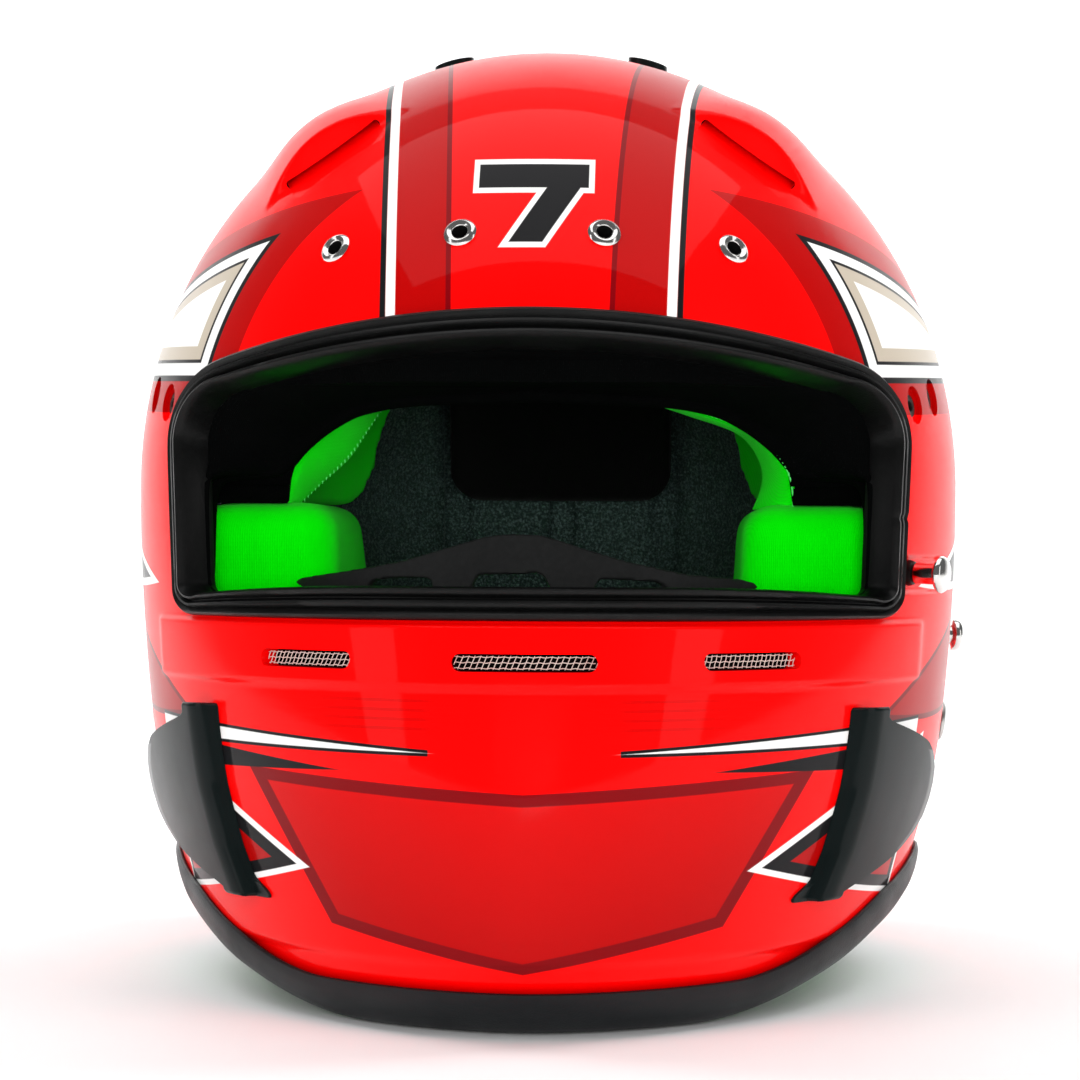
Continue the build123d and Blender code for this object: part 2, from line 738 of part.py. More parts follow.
def headliner_side(side):
    """One side pad of the crown, with rounded corners."""
    size = (SIDE_PAD_Y[1] - SIDE_PAD_Y[0], SIDE_PAD_Z[1] - SIDE_PAD_Z[0])
    face = Rectangle(*size)
    face = fillet(face.vertices(), SIDE_PAD_CORNER)
    face = Pos(sum(SIDE_PAD_Y) / 2, sum(SIDE_PAD_Z) / 2) * face
    pad = comfort_layer() & side_prism(face, side)
    clear = CENTRE_PAD_WIDTH / 2 + PAD_EDGE
    inner = box_between((-clear, clear), (-FRONT_REACH, REAR_REACH), (0, WIDEST_HEIGHT + CROWN_RISE))
    return cut_all(pad, [inner])


def brow_pad():
    """The forehead pad at the front of the crown."""
    zone = box_between(
        (-BROW_PAD_HALF_WIDTH, BROW_PAD_HALF_WIDTH),
        (-FRONT_REACH, BROW_PAD_REAR),
        (FACE_TOP + FIT, BROW_PAD_TOP),
    )
    pad = comfort_layer() & zone
    blocks = []
    for side in SIDES.values():
        near = side * (CENTRE_PAD_WIDTH / 2 + PAD_EDGE)
        far = side * HALF_WIDTH
        block = box_between(
            (min(near, far), max(near, far)),
            (SIDE_PAD_Y[0] - PAD_EDGE, REAR_REACH),
            (0, WIDEST_HEIGHT + CROWN_RISE),
        )
        blocks.append(block)
    return cut_all(pad, blocks)


def neck_roll():
    """The padded roll round the rear of the base."""
    roll = wall(-SHELL_WALL - TRIM_INNER - FIT, -SHELL_WALL - ROLL_THICK) - below_arch(TRIM_SEAT)
    zone = box_between((-HALF_WIDTH, HALF_WIDTH), (ROLL_FRONT, REAR_REACH), (0, ROLL_TOP))
    upper = wall(-SHELL_WALL - FIT, -SHELL_WALL - ROLL_THICK) - below_arch(TRIM_HEIGHT + FIT)
    return cut_all((upper + roll) & zone, [fastener_room()])


def breath_deflector():
    """The rubber deflector on the chin liner, with three windows."""
    outer = -SHELL_WALL - CHIN_LINER_THICK - FIT
    layer = wall(outer, outer - DEFLECTOR_THICK)
    arc = ThreePointArc(
        (-DEFLECTOR_HALF_WIDTH, DEFLECTOR_END_TOP),
        (0, DEFLECTOR_PEAK),
        (DEFLECTOR_HALF_WIDTH, DEFLECTOR_END_TOP),
    )
    rest = Polyline(
        (DEFLECTOR_HALF_WIDTH, DEFLECTOR_END_TOP),
        (DEFLECTOR_HALF_WIDTH, DEFLECTOR_BOTTOM),
        (-DEFLECTOR_HALF_WIDTH, DEFLECTOR_BOTTOM),
        (-DEFLECTOR_HALF_WIDTH, DEFLECTOR_END_TOP),
    )
    face = make_face([arc, *rest.edges()])
    for across in (-DEFLECTOR_WINDOW_X[1], DEFLECTOR_WINDOW_X[0], DEFLECTOR_WINDOW_X[1]):
        half = DEFLECTOR_WINDOW_WIDTH[1 if across else 0] / 2
        low, high = DEFLECTOR_WINDOW_Z
        window = Polyline(
            (across - half, low),
            (across + half, low),
            (across + half - DEFLECTOR_WINDOW_TAPER, high),
            (across - half + DEFLECTOR_WINDOW_TAPER, high),
            close=True,
        )
        face = face - make_face(window)
    return layer & front_prism(face, -FRONT_REACH - OVERRUN, -OVERRUN)


def vent_mesh(name):
    """The woven mesh set in one chin vent."""
    return wall(-MESH_DEPTH, -MESH_DEPTH - MESH_THICK) & vent_cut(name)


def top_vent(side):
    """One low exhaust vent on the crown, with a slot at its rear."""
    slot = Rot(0, 0, 90) * SlotOverall(TOP_VENT_LENGTH, TOP_VENT_WIDTH)
    face = Pos(side * TOP_VENT_X, TOP_VENT_Y, WIDEST_HEIGHT) * slot
    vent = extrude(face, CROWN_RISE + OVERRUN) & wall(TOP_VENT_PROUD, 0)
    mouth = box_between(
        (-TOP_VENT_SLOT, TOP_VENT_SLOT),
        (TOP_VENT_LENGTH / 4, TOP_VENT_LENGTH),
        (WIDEST_HEIGHT, WIDEST_HEIGHT + CROWN_RISE + OVERRUN),
    )
    mouth = Pos(side * TOP_VENT_X, TOP_VENT_Y, 0) * mouth
    return vent - (mouth - body(TOP_VENT_PROUD / 3))


def winglet(side):
    """One winglet: an outer plate held off the shell by its front bar."""
    face = polygon(WINGLET_POINTS, WINGLET_RADII)
    outer = WINGLET_GAP + WINGLET_WALL
    plate = wall(outer, WINGLET_GAP) & side_prism(face, side)
    front_top, front_foot = WINGLET_POINTS[0], WINGLET_POINTS[1]
    bar_face = Polyline(
        (front_top[0] - OVERRUN, front_top[1]),
        (front_top[0] + WINGLET_BAR, front_top[1]),
        (front_foot[0] + WINGLET_BAR, front_foot[1]),
        (front_foot[0] - OVERRUN, front_foot[1]),
        close=True,
    )
    ledge_face = Polyline(
        (front_foot[0], front_foot[1] - OVERRUN),
        (front_foot[0], front_foot[1] + WINGLET_LEDGE),
        (WINGLET_POINTS[2][0], WINGLET_POINTS[2][1] + WINGLET_LEDGE),
        (WINGLET_POINTS[2][0], WINGLET_POINTS[2][1] - OVERRUN),
        close=True,
    )
    foot_face = make_face(bar_face) + make_face(ledge_face)
    foot = wall(WINGLET_GAP, SNUG) & side_prism(face, side) & side_prism(foot_face, side)
    return plate + foot


def vent_eyelets():
    """The four brow eyelets, each with a flange on both faces."""
    hole, barrel, rim = EYELET_HOLE / 2, EYELET_BARREL / 2, EYELET_DIAMETER / 2
    profile = [
        (hole, EYELET_FLANGE),
        (hole, -SHELL_WALL - EYELET_FLANGE),
        (rim, -SHELL_WALL - EYELET_FLANGE),
        (rim, -SHELL_WALL - SNUG),
        (barrel, -SHELL_WALL - SNUG),
        (barrel, SNUG),
        (rim, SNUG),
        (rim - EYELET_FLANGE / 2, EYELET_FLANGE),
    ]
    return [turned(plane, profile) for plane in eyelet_planes()]


def visor_pivot_inserts():
    """The four threaded inserts, flanged behind the wall."""
    hole, barrel, rim = PIVOT_THREAD / 2, PIVOT_BARREL / 2, PIVOT_FLANGE / 2
    low = -SHELL_WALL - FIT - PIVOT_FLANGE_THICK
    profile = [
        (hole, -PIVOT_RECESS_DEPTH),
        (hole, low),
        (rim, low),
        (rim, -SHELL_WALL - FIT),
        (barrel, -SHELL_WALL - FIT),
        (barrel, -PIVOT_RECESS_DEPTH),
    ]
    return [turned(plane, profile) for plane in pivot_planes()]


def visor_lock_post():
    """The turned post that holds a face shield down."""
    neck, barrel, head = LOCK_NECK / 2, LOCK_BARREL / 2, LOCK_HEAD / 2
    foot = -LOCK_POCKET_DEPTH
    barrel_low = foot + LOCK_NECK_LENGTH
    head_low = barrel_low + LOCK_BARREL_LENGTH
    top = head_low + LOCK_HEAD_LENGTH
    profile = [
        (0, -SHELL_WALL - LOCK_NUT_THICK),
        (neck, -SHELL_WALL - LOCK_NUT_THICK),
        (neck, barrel_low),
        (barrel, barrel_low),
        (barrel, head_low),
        (head, head_low),
        (head, top - LOCK_HEAD_LENGTH / 2),
        (barrel, top),
        (0, top),
    ]
    return turned(side_plane(LOCK_YZ, 1), profile)


def visor_lock_nut():
    """The round nut of the lock post behind the wall."""
    hole, rim = LOCK_NECK / 2, LOCK_NUT / 2
    high = -SHELL_WALL - SNUG
    low = -SHELL_WALL - LOCK_NUT_THICK
    profile = [(hole, high), (hole, low), (rim, low), (rim, high)]
    return turned(side_plane(LOCK_YZ, 1), profile)


def anchor_post(side):
    """One tether post: foot collar, shaft and head, screwed through the wall."""
    foot, shaft, head = ANCHOR_FOOT / 2, ANCHOR_SHAFT / 2, ANCHOR_HEAD / 2
    thread = ANCHOR_THREAD / 2
    low = -SHELL_WALL - ANCHOR_NUT_THICK
    head_low = ANCHOR_REACH - ANCHOR_HEAD_THICK
    profile = [
        (0, low),
        (thread, low),
        (thread, SNUG),
        (foot, SNUG),
        (foot, ANCHOR_FOOT_THICK),
        (shaft, ANCHOR_FOOT_THICK),
        (shaft, head_low),
        (head, head_low),
        (head, ANCHOR_REACH - ANCHOR_HEAD_THICK / 3),
        (shaft, ANCHOR_REACH),
        (0, ANCHOR_REACH),
    ]
    return turned(side_plane(ANCHOR_YZ, side), profile)


def anchor_nuts():
    """The two flanged nuts of the tether posts behind the wall."""
    hole, rim = ANCHOR_THREAD / 2, ANCHOR_NUT / 2
    high = -SHELL_WALL - 2 * SNUG
    low = -SHELL_WALL - ANCHOR_NUT_THICK
    profile = [(hole, high), (hole, low), (rim, low), (rim, high)]
    return [turned(side_plane(ANCHOR_YZ, side), profile) for side in SIDES.values()]


def strap_rivets():
    """The two rivets that hold the chin strap: outer head, shank and inner head."""
    shank, head = RIVET_SHANK / 2, RIVET_HEAD / 2
    inner = -SHELL_WALL - WEB_WALL_GAP - WEB_THICK - 2 * FIT
    low = inner - WASHER_THICK
    profile = [
        (0, low),
        (head - RIVET_HEAD_THICK, low),
        (head - RIVET_HEAD_THICK, inner),
        (shank, inner),
        (shank, SNUG),
        (head, SNUG),
        (head - RIVET_HEAD_THICK / 2, RIVET_HEAD_THICK * 2 / 3),
        (shank, RIVET_HEAD_THICK),
        (0, RIVET_HEAD_THICK),
    ]
    return [turned(rivet_plane(side), profile) for side in SIDES.values()]


def strap_washers():
    """The two washers between the wall and the chin strap."""
    hole, rim = RIVET_SHANK / 2 + SNUG / 2, WASHER / 2
    high = -SHELL_WALL - SNUG
    low = -SHELL_WALL - WASHER_THICK
    profile = [(hole, high), (hole, low), (rim, low), (rim, high)]
    return [turned(rivet_plane(side), profile) for side in SIDES.values()]


def strap_hole(side):
    """The rivet hole through the webbing."""
    return bore(rivet_plane(side), RIVET_SHANK + 2 * SNUG, -OVERRUN / 2, 0)


def chin_strap_left():
    """The long strap: through the left cheek pad, down, and folded on itself."""
    low = FOLD_HEIGHT
    heights = [low + 4 * FOLD_RADIUS, low + 2 * FOLD_RADIUS, low]
    route = [
        *web_path(1),
        (WEB_HANG_X, heights[0]),
        (FOLD_END_X, heights[0]),
        (FOLD_END_X, heights[1]),
        (FOLD_TURN_X, heights[1]),
        (FOLD_TURN_X, heights[2]),
        (FOLD_END_X, heights[2]),
    ]
    turn = FOLD_RADIUS * (1 - SNUG / WEB_BEND)
    radii = [WEB_BEND, WEB_BEND, WEB_BEND, WEB_BEND, turn, turn, turn, turn]
    return web_band(route, radii, WEB_THICK, WEB_WIDTH) - strap_hole(1)


def chin_strap_right():
    """The short strap: through the right cheek pad, and sewn round both rings."""
    hang = -WEB_HANG_X
    route = [*web_path(-1), (hang, RING_AXIS_HEIGHT)]
    strap = web_band(route, WEB_BEND, WEB_THICK, WEB_WIDTH)
    ply = [(hang + WEB_THICK, RING_AXIS_HEIGHT), (hang + WEB_THICK, RING_AXIS_HEIGHT + SLEEVE_LENGTH)]
    sewn = box_between(
        (ply[0][0] - WEB_THICK / 2, ply[0][0] + WEB_THICK / 2),
        (-WEB_WIDTH / 2, WEB_WIDTH / 2),
        (ply[0][1], ply[1][1]),
    )
    bars = RING_WIRE + 2 * RING_CLEARANCE
    centre = Pos(hang, RING_AXIS_HEIGHT)
    loop = centre * SlotCenterToCenter(RING_PITCH, bars + 2 * WEB_THICK)
    hollow = centre * SlotCenterToCenter(RING_PITCH, bars)
    outer = extrude(Plane.XZ * loop, WEB_WIDTH / 2, both=True)
    inner = extrude(Plane.XZ * hollow, WEB_WIDTH, both=True)
    return (strap + sewn + outer) - inner - strap_hole(-1)


def d_ring(side):
    """One ring of the strap, hanging from its bar; side -1 is the one nearer the pad."""
    across = -WEB_HANG_X + side * RING_PITCH / 2
    shoulder_y, shoulder_z = RING_SHOULDER_SHARES
    toe_y, toe_z = RING_TOE_SHARES
    half = [
        (RING_HALF_WIDTH, 0),
        (RING_HALF_WIDTH * shoulder_y, -RING_DEPTH * shoulder_z),
        (RING_HALF_WIDTH * toe_y, -RING_DEPTH * toe_z),
    ]
    points = [*half, *[(-y, z) for y, z in reversed(half)]]
    radii = [RING_CORNER, 2 * RING_CORNER, 2 * RING_CORNER]
    path = FilletPolyline(*points, radius=[*radii, *reversed(radii)], close=True)
    path = Pos(across, 0, RING_AXIS_HEIGHT) * (Plane.YZ * path)
    start = path.wire() @ 0
    heading = path.wire() % 0
    return sweep(Plane(origin=start, z_dir=heading) * Circle(RING_WIRE / 2), path.wire())


def write(name, shape):
    """Write one node as its own file, with identical pieces side by side."""
    pieces = shape if isinstance(shape, list) else [shape]
    solids = [solid for piece in pieces for solid in piece.solids()]
    node = solids[0] if len(solids) == 1 else Compound(children=solids)
    node.label = name
    export_step(node, f"parts/{name}.step")
    print(name, len(solids), round(sum(solid.volume for solid in solids)))


write("outer_shell", outer_shell())
write("base_trim", base_trim())
write("eyeport_seal", eyeport_seal())
write("crown_liner", crown_liner())
write("chin_liner", chin_liner())
write("headliner_centre", headliner_centre())
write("brow_pad", brow_pad())
write("neck_roll", neck_roll())
write("breath_deflector", breath_deflector())
for vent_name in ("centre", "left", "right"):
    write(f"vent_mesh_{vent_name}", vent_mesh(vent_name))
for side_name, side_sign in SIDES.items():
    write(f"cheek_pad_{side_name}", cheek_pad(side_sign))
    write(f"cheek_block_{side_name}", cheek_block(side_sign))
    write(f"headliner_side_{side_name}", headliner_side(side_sign))
    write(f"top_vent_{side_name}", top_vent(side_sign))
    write(f"winglet_{side_name}", winglet(side_sign))
    write(f"anchor_post_{side_name}", anchor_post(side_sign))
write("anchor_nuts", anchor_nuts())
write("vent_eyelets", vent_eyelets())
write("visor_pivot_inserts", visor_pivot_inserts())
write("visor_lock_post", visor_lock_post())
write("visor_lock_nut", visor_lock_nut())
write("strap_rivets", strap_rivets())
write("strap_washers", strap_washers())
write("chin_strap_left", chin_strap_left())
write("chin_strap_right", chin_strap_right())
write("d_ring_outer", d_ring(-1))
write("d_ring_inner", d_ring(1))
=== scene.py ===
import logging
import math
from dataclasses import dataclass
from enum import Enum
from functools import lru_cache, reduce
from typing import Callable, Iterable, Sequence

import bmesh
import bpy
import numpy as np
from mathutils import Matrix, Vector


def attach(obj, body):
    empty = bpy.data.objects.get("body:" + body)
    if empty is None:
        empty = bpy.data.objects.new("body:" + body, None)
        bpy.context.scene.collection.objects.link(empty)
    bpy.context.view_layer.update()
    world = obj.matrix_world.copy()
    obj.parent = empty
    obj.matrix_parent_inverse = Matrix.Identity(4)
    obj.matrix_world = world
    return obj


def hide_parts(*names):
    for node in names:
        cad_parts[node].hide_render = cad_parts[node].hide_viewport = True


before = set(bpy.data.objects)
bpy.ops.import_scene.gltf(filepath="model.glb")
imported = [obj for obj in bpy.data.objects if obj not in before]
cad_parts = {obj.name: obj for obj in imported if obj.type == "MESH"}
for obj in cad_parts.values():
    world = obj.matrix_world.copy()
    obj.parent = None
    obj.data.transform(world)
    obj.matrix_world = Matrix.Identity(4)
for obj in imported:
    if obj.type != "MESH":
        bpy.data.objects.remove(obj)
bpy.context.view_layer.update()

LOG = logging.getLogger("helmet")
BODY = "helmet"
OVERRUN = 0.03

Colour = tuple[float, float, float]
Place = tuple[float, float, float]
Pairs = tuple[tuple[float, float], ...]
Array = np.ndarray
Item = bpy.types.Object
Node = bpy.types.Node
Socket = bpy.types.NodeSocket
Tree = bpy.types.NodeTree
Layers = list[tuple[Socket, Colour]]
MM = 0.001
UP = (0, 0, 1)


class Side(Enum):
    """The wearer's sides: the value is the sign of X."""

    LEFT = 1
    RIGHT = -1

    @property
    def word(self) -> str:
        """The side's name as the frame's nodes have it."""
        return self.name.lower()


def smooth_step(value: Array, low: float, high: float) -> Array:
    """A soft step."""
    share = np.clip((value - low) / (high - low), 0.0, 1.0)
    return share * share * (3.0 - 2.0 * share)


def clamped_spline(knots: Array, values: Array, where: Array) -> Array:
    """A cubic spline with a level end, for sections that flow into the crown.

    Args:
        knots: Rising places of the known values.
        values: The known values.
        where: The places to read.

    Returns:
        The spline's values.
    """
    gaps = np.diff(knots)
    slopes = np.diff(values) / gaps
    system = np.diag([1.0, *2.0 * (gaps[:-1] + gaps[1:]), 2.0 * gaps[-1]])
    system += np.diag(gaps, -1) + np.diag([0.0, *gaps[1:]], 1)
    right = 6.0 * np.array([0.0, *np.diff(slopes), -slopes[-1]])
    bend = np.linalg.solve(system, right)
    spot = np.clip(np.searchsorted(knots, where) - 1, 0, len(gaps) - 1)
    gap = gaps[spot]
    left = (knots[spot + 1] - where) / gap
    rest = 1.0 - left
    curve = (left**3 - left) * bend[spot] + (rest**3 - rest) * bend[spot + 1]
    return left * values[spot] + rest * values[spot + 1] + curve * gap * gap / 6.0


@dataclass(frozen=True)
class ShellForm:
    """The helmet's form: level superellipse sections under an elliptical crown."""

    half_width: float = 0.125
    front_reach: float = 0.164
    rear_reach: float = 0.164
    widest: float = 0.1455
    rise: float = 0.1335
    wall: float = 0.004
    arch_rise: float = 0.026
    station_shares: tuple[tuple[float, ...], ...] = (
        (-0.06, 0.775, 0.850, 0.670, 1.80, 2.1),
        (0.0, 0.808, 0.890, 0.707, 1.80, 2.1),
        (0.096, 0.848, 0.963, 0.762, 1.78, 2.1),
        (0.22, 0.888, 0.994, 0.829, 1.76, 2.1),
        (0.412, 0.948, 1.0, 0.902, 1.76, 2.1),
        (0.6186, 0.981, 0.982, 0.951, 1.80, 2.1),
        (0.79, 0.995, 0.939, 0.979, 1.86, 2.1),
        (1.0, 1.0, 0.9024, 1.0, 1.95, 2.1),
    )
    arch_shares: Pairs = (
        (-0.784, 0.0), (-0.552, 0.34), (-0.356, 0.68), (0.0, 1.0),
        (0.283, 0.70), (0.438, 0.36), (0.622, 0.0),
    )

    def dims(self, height: Array, grow: float = 0.0) -> tuple[Array, ...]:
        """The section's sizes at a height.

        Args:
            height: Heights over the base plane.
            grow: How far it is grown.

        Returns:
            Half width, front reach, rear reach and the two roundness exponents.
        """
        height = np.asarray(height, float)
        table = np.array(self.station_shares)
        low = np.clip(height, table[0, 0] * self.widest, self.widest) / self.widest
        read = [clamped_spline(table[:, 0], table[:, k], low) for k in range(1, 6)]
        up = np.clip((height - self.widest) / (self.rise + grow), 0.0, 1.0)
        narrow = np.where(height > self.widest, np.sqrt(1.0 - up * up), 1.0)
        blend = np.clip(np.degrees(np.arcsin(up)) / 30.0, 0.0, 1.0)
        half = (read[0] * self.half_width + grow) * narrow
        front = (read[1] * self.front_reach + grow) * narrow
        rear = (read[2] * self.rear_reach + grow) * narrow
        return half, front, rear, read[3] + 0.07 * blend, read[4] - 0.05 * blend

    def ring(self, y: Array, height: Array, grow: float) -> tuple[Array, ...]:
        """The half width, and the reach and roundness on Y's side of the widest place."""
        half, front, rear, front_round, rear_round = self.dims(height, grow)
        return half, np.where(y >= 0, rear, front), np.where(y >= 0, rear_round, front_round)

    def around(self, turn: Array, height: Array, grow: float = 0.0) -> Array:
        """Points by the turn round the section, from +X towards the rear.

        Args:
            turn: Angles in radians.
            height: Heights, one per angle.
            grow: How far it is grown.

        Returns:
            Points in the last axis of the array.
        """
        sine, cosine = np.sin(turn), np.cos(turn)
        half, reach, power = self.ring(sine, height, grow)
        x = half * np.abs(cosine) ** (2 / power) * np.sign(cosine)
        y = reach * np.abs(sine) ** (2 / power) * np.sign(sine)
        return np.stack([x, y, np.broadcast_to(height, x.shape)], axis=-1)

    def front_y(self, x: Array, height: Array, grow: float = 0.0) -> Array:
        """The front face's Y at a place seen from the front."""
        half, front, _, power, _ = self.dims(height, grow)
        return -front * np.clip(1.0 - np.abs(x / half) ** power, 0.0, None) ** (1 / power)

    def side_x(self, y: Array, height: Array, grow: float = 0.0) -> Array:
        """The side face's distance from the middle plane.

        Args:
            y: Places along.
            height: Heights.
            grow: How far it is grown.

        Returns:
            The size of X on the side face.
        """
        y = np.asarray(y, float)
        half, reach, power = self.ring(y, height, grow)
        return half * np.clip(1.0 - np.abs(y / reach) ** power, 0.0, None) ** (1 / power)

    def level(self, points: Array, grow: float = 0.0) -> Array:
        """How far out a point lies: 1 on the face, less inside.

        Args:
            points: Points in the last axis.
            grow: How far it is grown.

        Returns:
            The level of each point.
        """
        x, y, z = points[..., 0], points[..., 1], points[..., 2]
        half, reach, power = self.ring(y, z, grow)
        small = 1e-6
        return np.abs(x / (half + small)) ** power + np.abs(y / (reach + small)) ** power

    def reach_along(self, origin: Array, heading: Array, grow: float = 0.0) -> Array:
        """Where rays from inside the form meet its face.

        Args:
            origin: The rays' starts, inside the form.
            heading: The rays' unit directions.
            grow: How far it is grown.

        Returns:
            The points on the face.
        """
        low = np.zeros(np.broadcast_shapes(origin.shape, heading.shape)[:-1])
        high = np.full(low.shape, 0.25)
        for _ in range(36):
            middle = (low + high) / 2
            point = origin + heading * middle[..., None]
            top = self.widest + self.rise + grow
            inside = (self.level(point, grow) < 1.0) & (point[..., 2] < top)
            low = np.where(inside, middle, low)
            high = np.where(inside, high, middle)
        return origin + heading * low[..., None]

    def normal(self, points: Array) -> Array:
        """Outward unit normals at points near the face.

        Args:
            points: Points in the last axis.

        Returns:
            Unit normals.
        """
        steps = np.eye(3) * 1e-5
        grad = np.stack([self.level(points + step) - self.level(points - step) for step in steps], axis=-1)
        return grad / np.maximum(np.linalg.norm(grad, axis=-1, keepdims=True), 1e-12)

    def arch(self, y: Array) -> Array:
        """The height of the base edge.

        Args:
            y: Places along.

        Returns:
            Heights over the base plane.
        """
        table = np.array(self.arch_shares)
        places = table[:, 0] * self.front_reach
        gaps = np.diff(places)
        slopes = np.diff(table[:, 1]) / gaps
        lean = np.zeros(len(places))
        for k in range(1, len(places) - 1):
            if slopes[k - 1] * slopes[k] > 0:
                lean[k] = 2 * slopes[k - 1] * slopes[k] / (slopes[k - 1] + slopes[k])
        y = np.clip(np.asarray(y, float), places[0], places[-1])
        spot = np.clip(np.searchsorted(places, y) - 1, 0, len(places) - 2)
        t = (y - places[spot]) / gaps[spot]
        start, end = table[spot, 1], table[spot + 1, 1]
        curve = (2 * t**3 - 3 * t**2 + 1) * start + (3 * t**2 - 2 * t**3) * end
        curve += gaps[spot] * ((t**3 - 2 * t**2 + t) * lean[spot] + (t**3 - t**2) * lean[spot + 1])
        return curve * self.arch_rise


FORM = ShellForm()


def link(name: str, data: bpy.types.ID) -> Item:
    """A new object of the scene, at the origin.

    Args:
        name: Its name.
        data: Its mesh, curve, light or camera.

    Returns:
        The object.
    """
    item = bpy.data.objects.new(name, data)
    bpy.context.scene.collection.objects.link(item)
    return item


def points_of(item: Item) -> Array:
    """The places of a piece's vertices."""
    return np.array([vertex.co[:] for vertex in item.data.vertices])


def move_points(item: Item, points: Array) -> None:
    """Puts a piece's vertices at new places."""
    item.data.vertices.foreach_set("co", points.ravel())
    item.data.update()


def tidy(item: Item, smooth: float = 35.0, merge: float = 2e-6) -> None:
    """Merges doubles, turns normals outwards and shades the piece.

    Args:
        item: The piece.
        smooth: Edges bent by more degrees stay sharp.
        merge: Vertices nearer than this are merged.
    """
    work = bmesh.new()
    work.from_mesh(item.data)
    bmesh.ops.remove_doubles(work, verts=work.verts, dist=merge)
    bmesh.ops.recalc_face_normals(work, faces=work.faces)
    for face in work.faces:
        face.smooth = True
    work.to_mesh(item.data)
    work.free()
    item.data.set_sharp_from_angle(angle=math.radians(smooth))


def new_piece(name: str, points: Sequence, faces: Sequence, smooth: float = 35.0) -> Item:
    """A new piece from its points and faces.

    Args:
        name: The piece's name.
        points: Its vertices.
        faces: Its faces.
        smooth: Edges bent by more degrees stay sharp.

    Returns:
        The piece, with its normals outwards and its doubles merged.
    """
    mesh = bpy.data.meshes.new(name)
    mesh.from_pydata([tuple(p) for p in points], [], [tuple(f) for f in faces])
    item = link(name, mesh)
    tidy(item, smooth)
    return item


def grid_faces(rows: int, columns: int, around: bool, along: bool) -> list[tuple[int, ...]]:
    """The faces of a grid of points.

    Args:
        rows: How many rows it has.
        columns: How many columns it has.
        around: Whether the columns close.
        along: Whether the rows close.

    Returns:
        Four point numbers for each face.
    """
    return [(row * columns + column, row * columns + (column + 1) % columns,
             (row + 1) % rows * columns + (column + 1) % columns, (row + 1) % rows * columns + column)
            for row in range(rows if along else rows - 1)
            for column in range(columns if around else columns - 1)]


def grid_piece(name: str, points: Array, around: bool, along: bool, caps: bool = False,
               smooth: float = 35.0) -> Item:
    """A piece over a grid of points.

    Args:
        name: The piece's name.
        points: A grid of points, rows by columns by 3.
        around: Whether the columns close.
        along: Whether the rows close.
        caps: Whether the first and last rows get a cap.
        smooth: Edges bent by more degrees stay sharp.

    Returns:
        The piece.
    """
    rows, columns = points.shape[:2]
    faces = grid_faces(rows, columns, around, along)
    if caps:
        faces.append(tuple(range(columns)))
        faces.append(tuple((rows - 1) * columns + c for c in reversed(range(columns))))
    return new_piece(name, points.reshape(-1, 3), faces, smooth)


def final_mesh(item: Item) -> bpy.types.Mesh:
    """A plain mesh of a piece with its modifiers applied."""
    bpy.context.view_layer.update()
    return bpy.data.meshes.new_from_object(item.evaluated_get(bpy.context.evaluated_depsgraph_get()))


def bake(item: Item) -> None:
    """Applies every modifier of a piece to its mesh.

    Args:
        item: The piece.
    """
    mesh, old = final_mesh(item), item.data
    item.modifiers.clear()
    item.data = mesh
    bpy.data.meshes.remove(old)


def soften(item: Item, voxel: float, factor: float, rounds: int) -> None:
    """Gives a piece even facets and rounds its edges.

    Args:
        item: The piece.
        voxel: The size of its facets.
        factor: How strongly each round smooths it.
        rounds: How many rounds there are.
    """
    facets = item.modifiers.new("facets", "REMESH")
    facets.mode = "VOXEL"
    facets.voxel_size = voxel
    relax = item.modifiers.new("relax", "SMOOTH")
    relax.factor = factor
    relax.iterations = rounds
    bake(item)


def cut(item: Item, tools: Iterable[Item]) -> Item:
    """Cuts closed tools from a piece and removes them.

    Args:
        item: The piece.
        tools: The closed tools.

    Returns:
        The cut piece.
    """
    for tool in tools:
        change = item.modifiers.new("cut", "BOOLEAN")
        change.operation = "DIFFERENCE"
        change.solver = "EXACT"
        change.object = tool
        bake(item)
        bpy.data.objects.remove(tool)
    return item


def copy_of(node: str, name: str) -> Item:
    """A merged copy of a frame node's mesh.

    Args:
        node: The frame's node.
        name: The new piece's name.

    Returns:
        The copy.
    """
    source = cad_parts[node]
    mesh = source.data.copy()
    mesh.transform(source.matrix_world)
    mesh.materials.clear()
    item = link(name, mesh)
    tidy(item, 40.0, 2e-5)
    return item


def prism(name: str, outline: Array, low: float, high: float, spot: "Spot") -> Item:
    """A closed tool: a flat outline drawn along a spot's normal from a low to a high place."""
    rows = [spot.place(np.column_stack([outline, np.full(len(outline), h)])) for h in (low, high)]
    return grid_piece(name, np.stack(rows), True, False, caps=True)


def pillow(name: str, middle: Array, thick: float, power: float) -> Item:
    """A closed sheet over a grid of points, full in the middle and thin at its edges.

    Args:
        name: The piece's name.
        middle: Rows by columns of points on its middle face.
        thick: Its thickness.
        power: How late the thickness falls off towards the edges.

    Returns:
        The piece.
    """
    rows, columns = middle.shape[:2]
    down, along = np.gradient(middle, axis=0), np.gradient(middle, axis=1)
    out = np.cross(along, down)
    out = out / np.maximum(np.linalg.norm(out, axis=-1, keepdims=True), 1e-12)
    fade = [np.sqrt(1 - np.abs(np.linspace(-1, 1, count)) ** power) for count in (rows, columns)]
    half = (fade[0][:, None] * fade[1][None, :] * thick / 2)[..., None]
    points = np.concatenate([(middle + out * half).reshape(-1, 3), (middle - out * half).reshape(-1, 3)])
    front = grid_faces(rows, columns, False, False)
    back = [tuple(rows * columns + corner for corner in reversed(face)) for face in front]
    return new_piece(name, points, [*front, *back], 60.0)


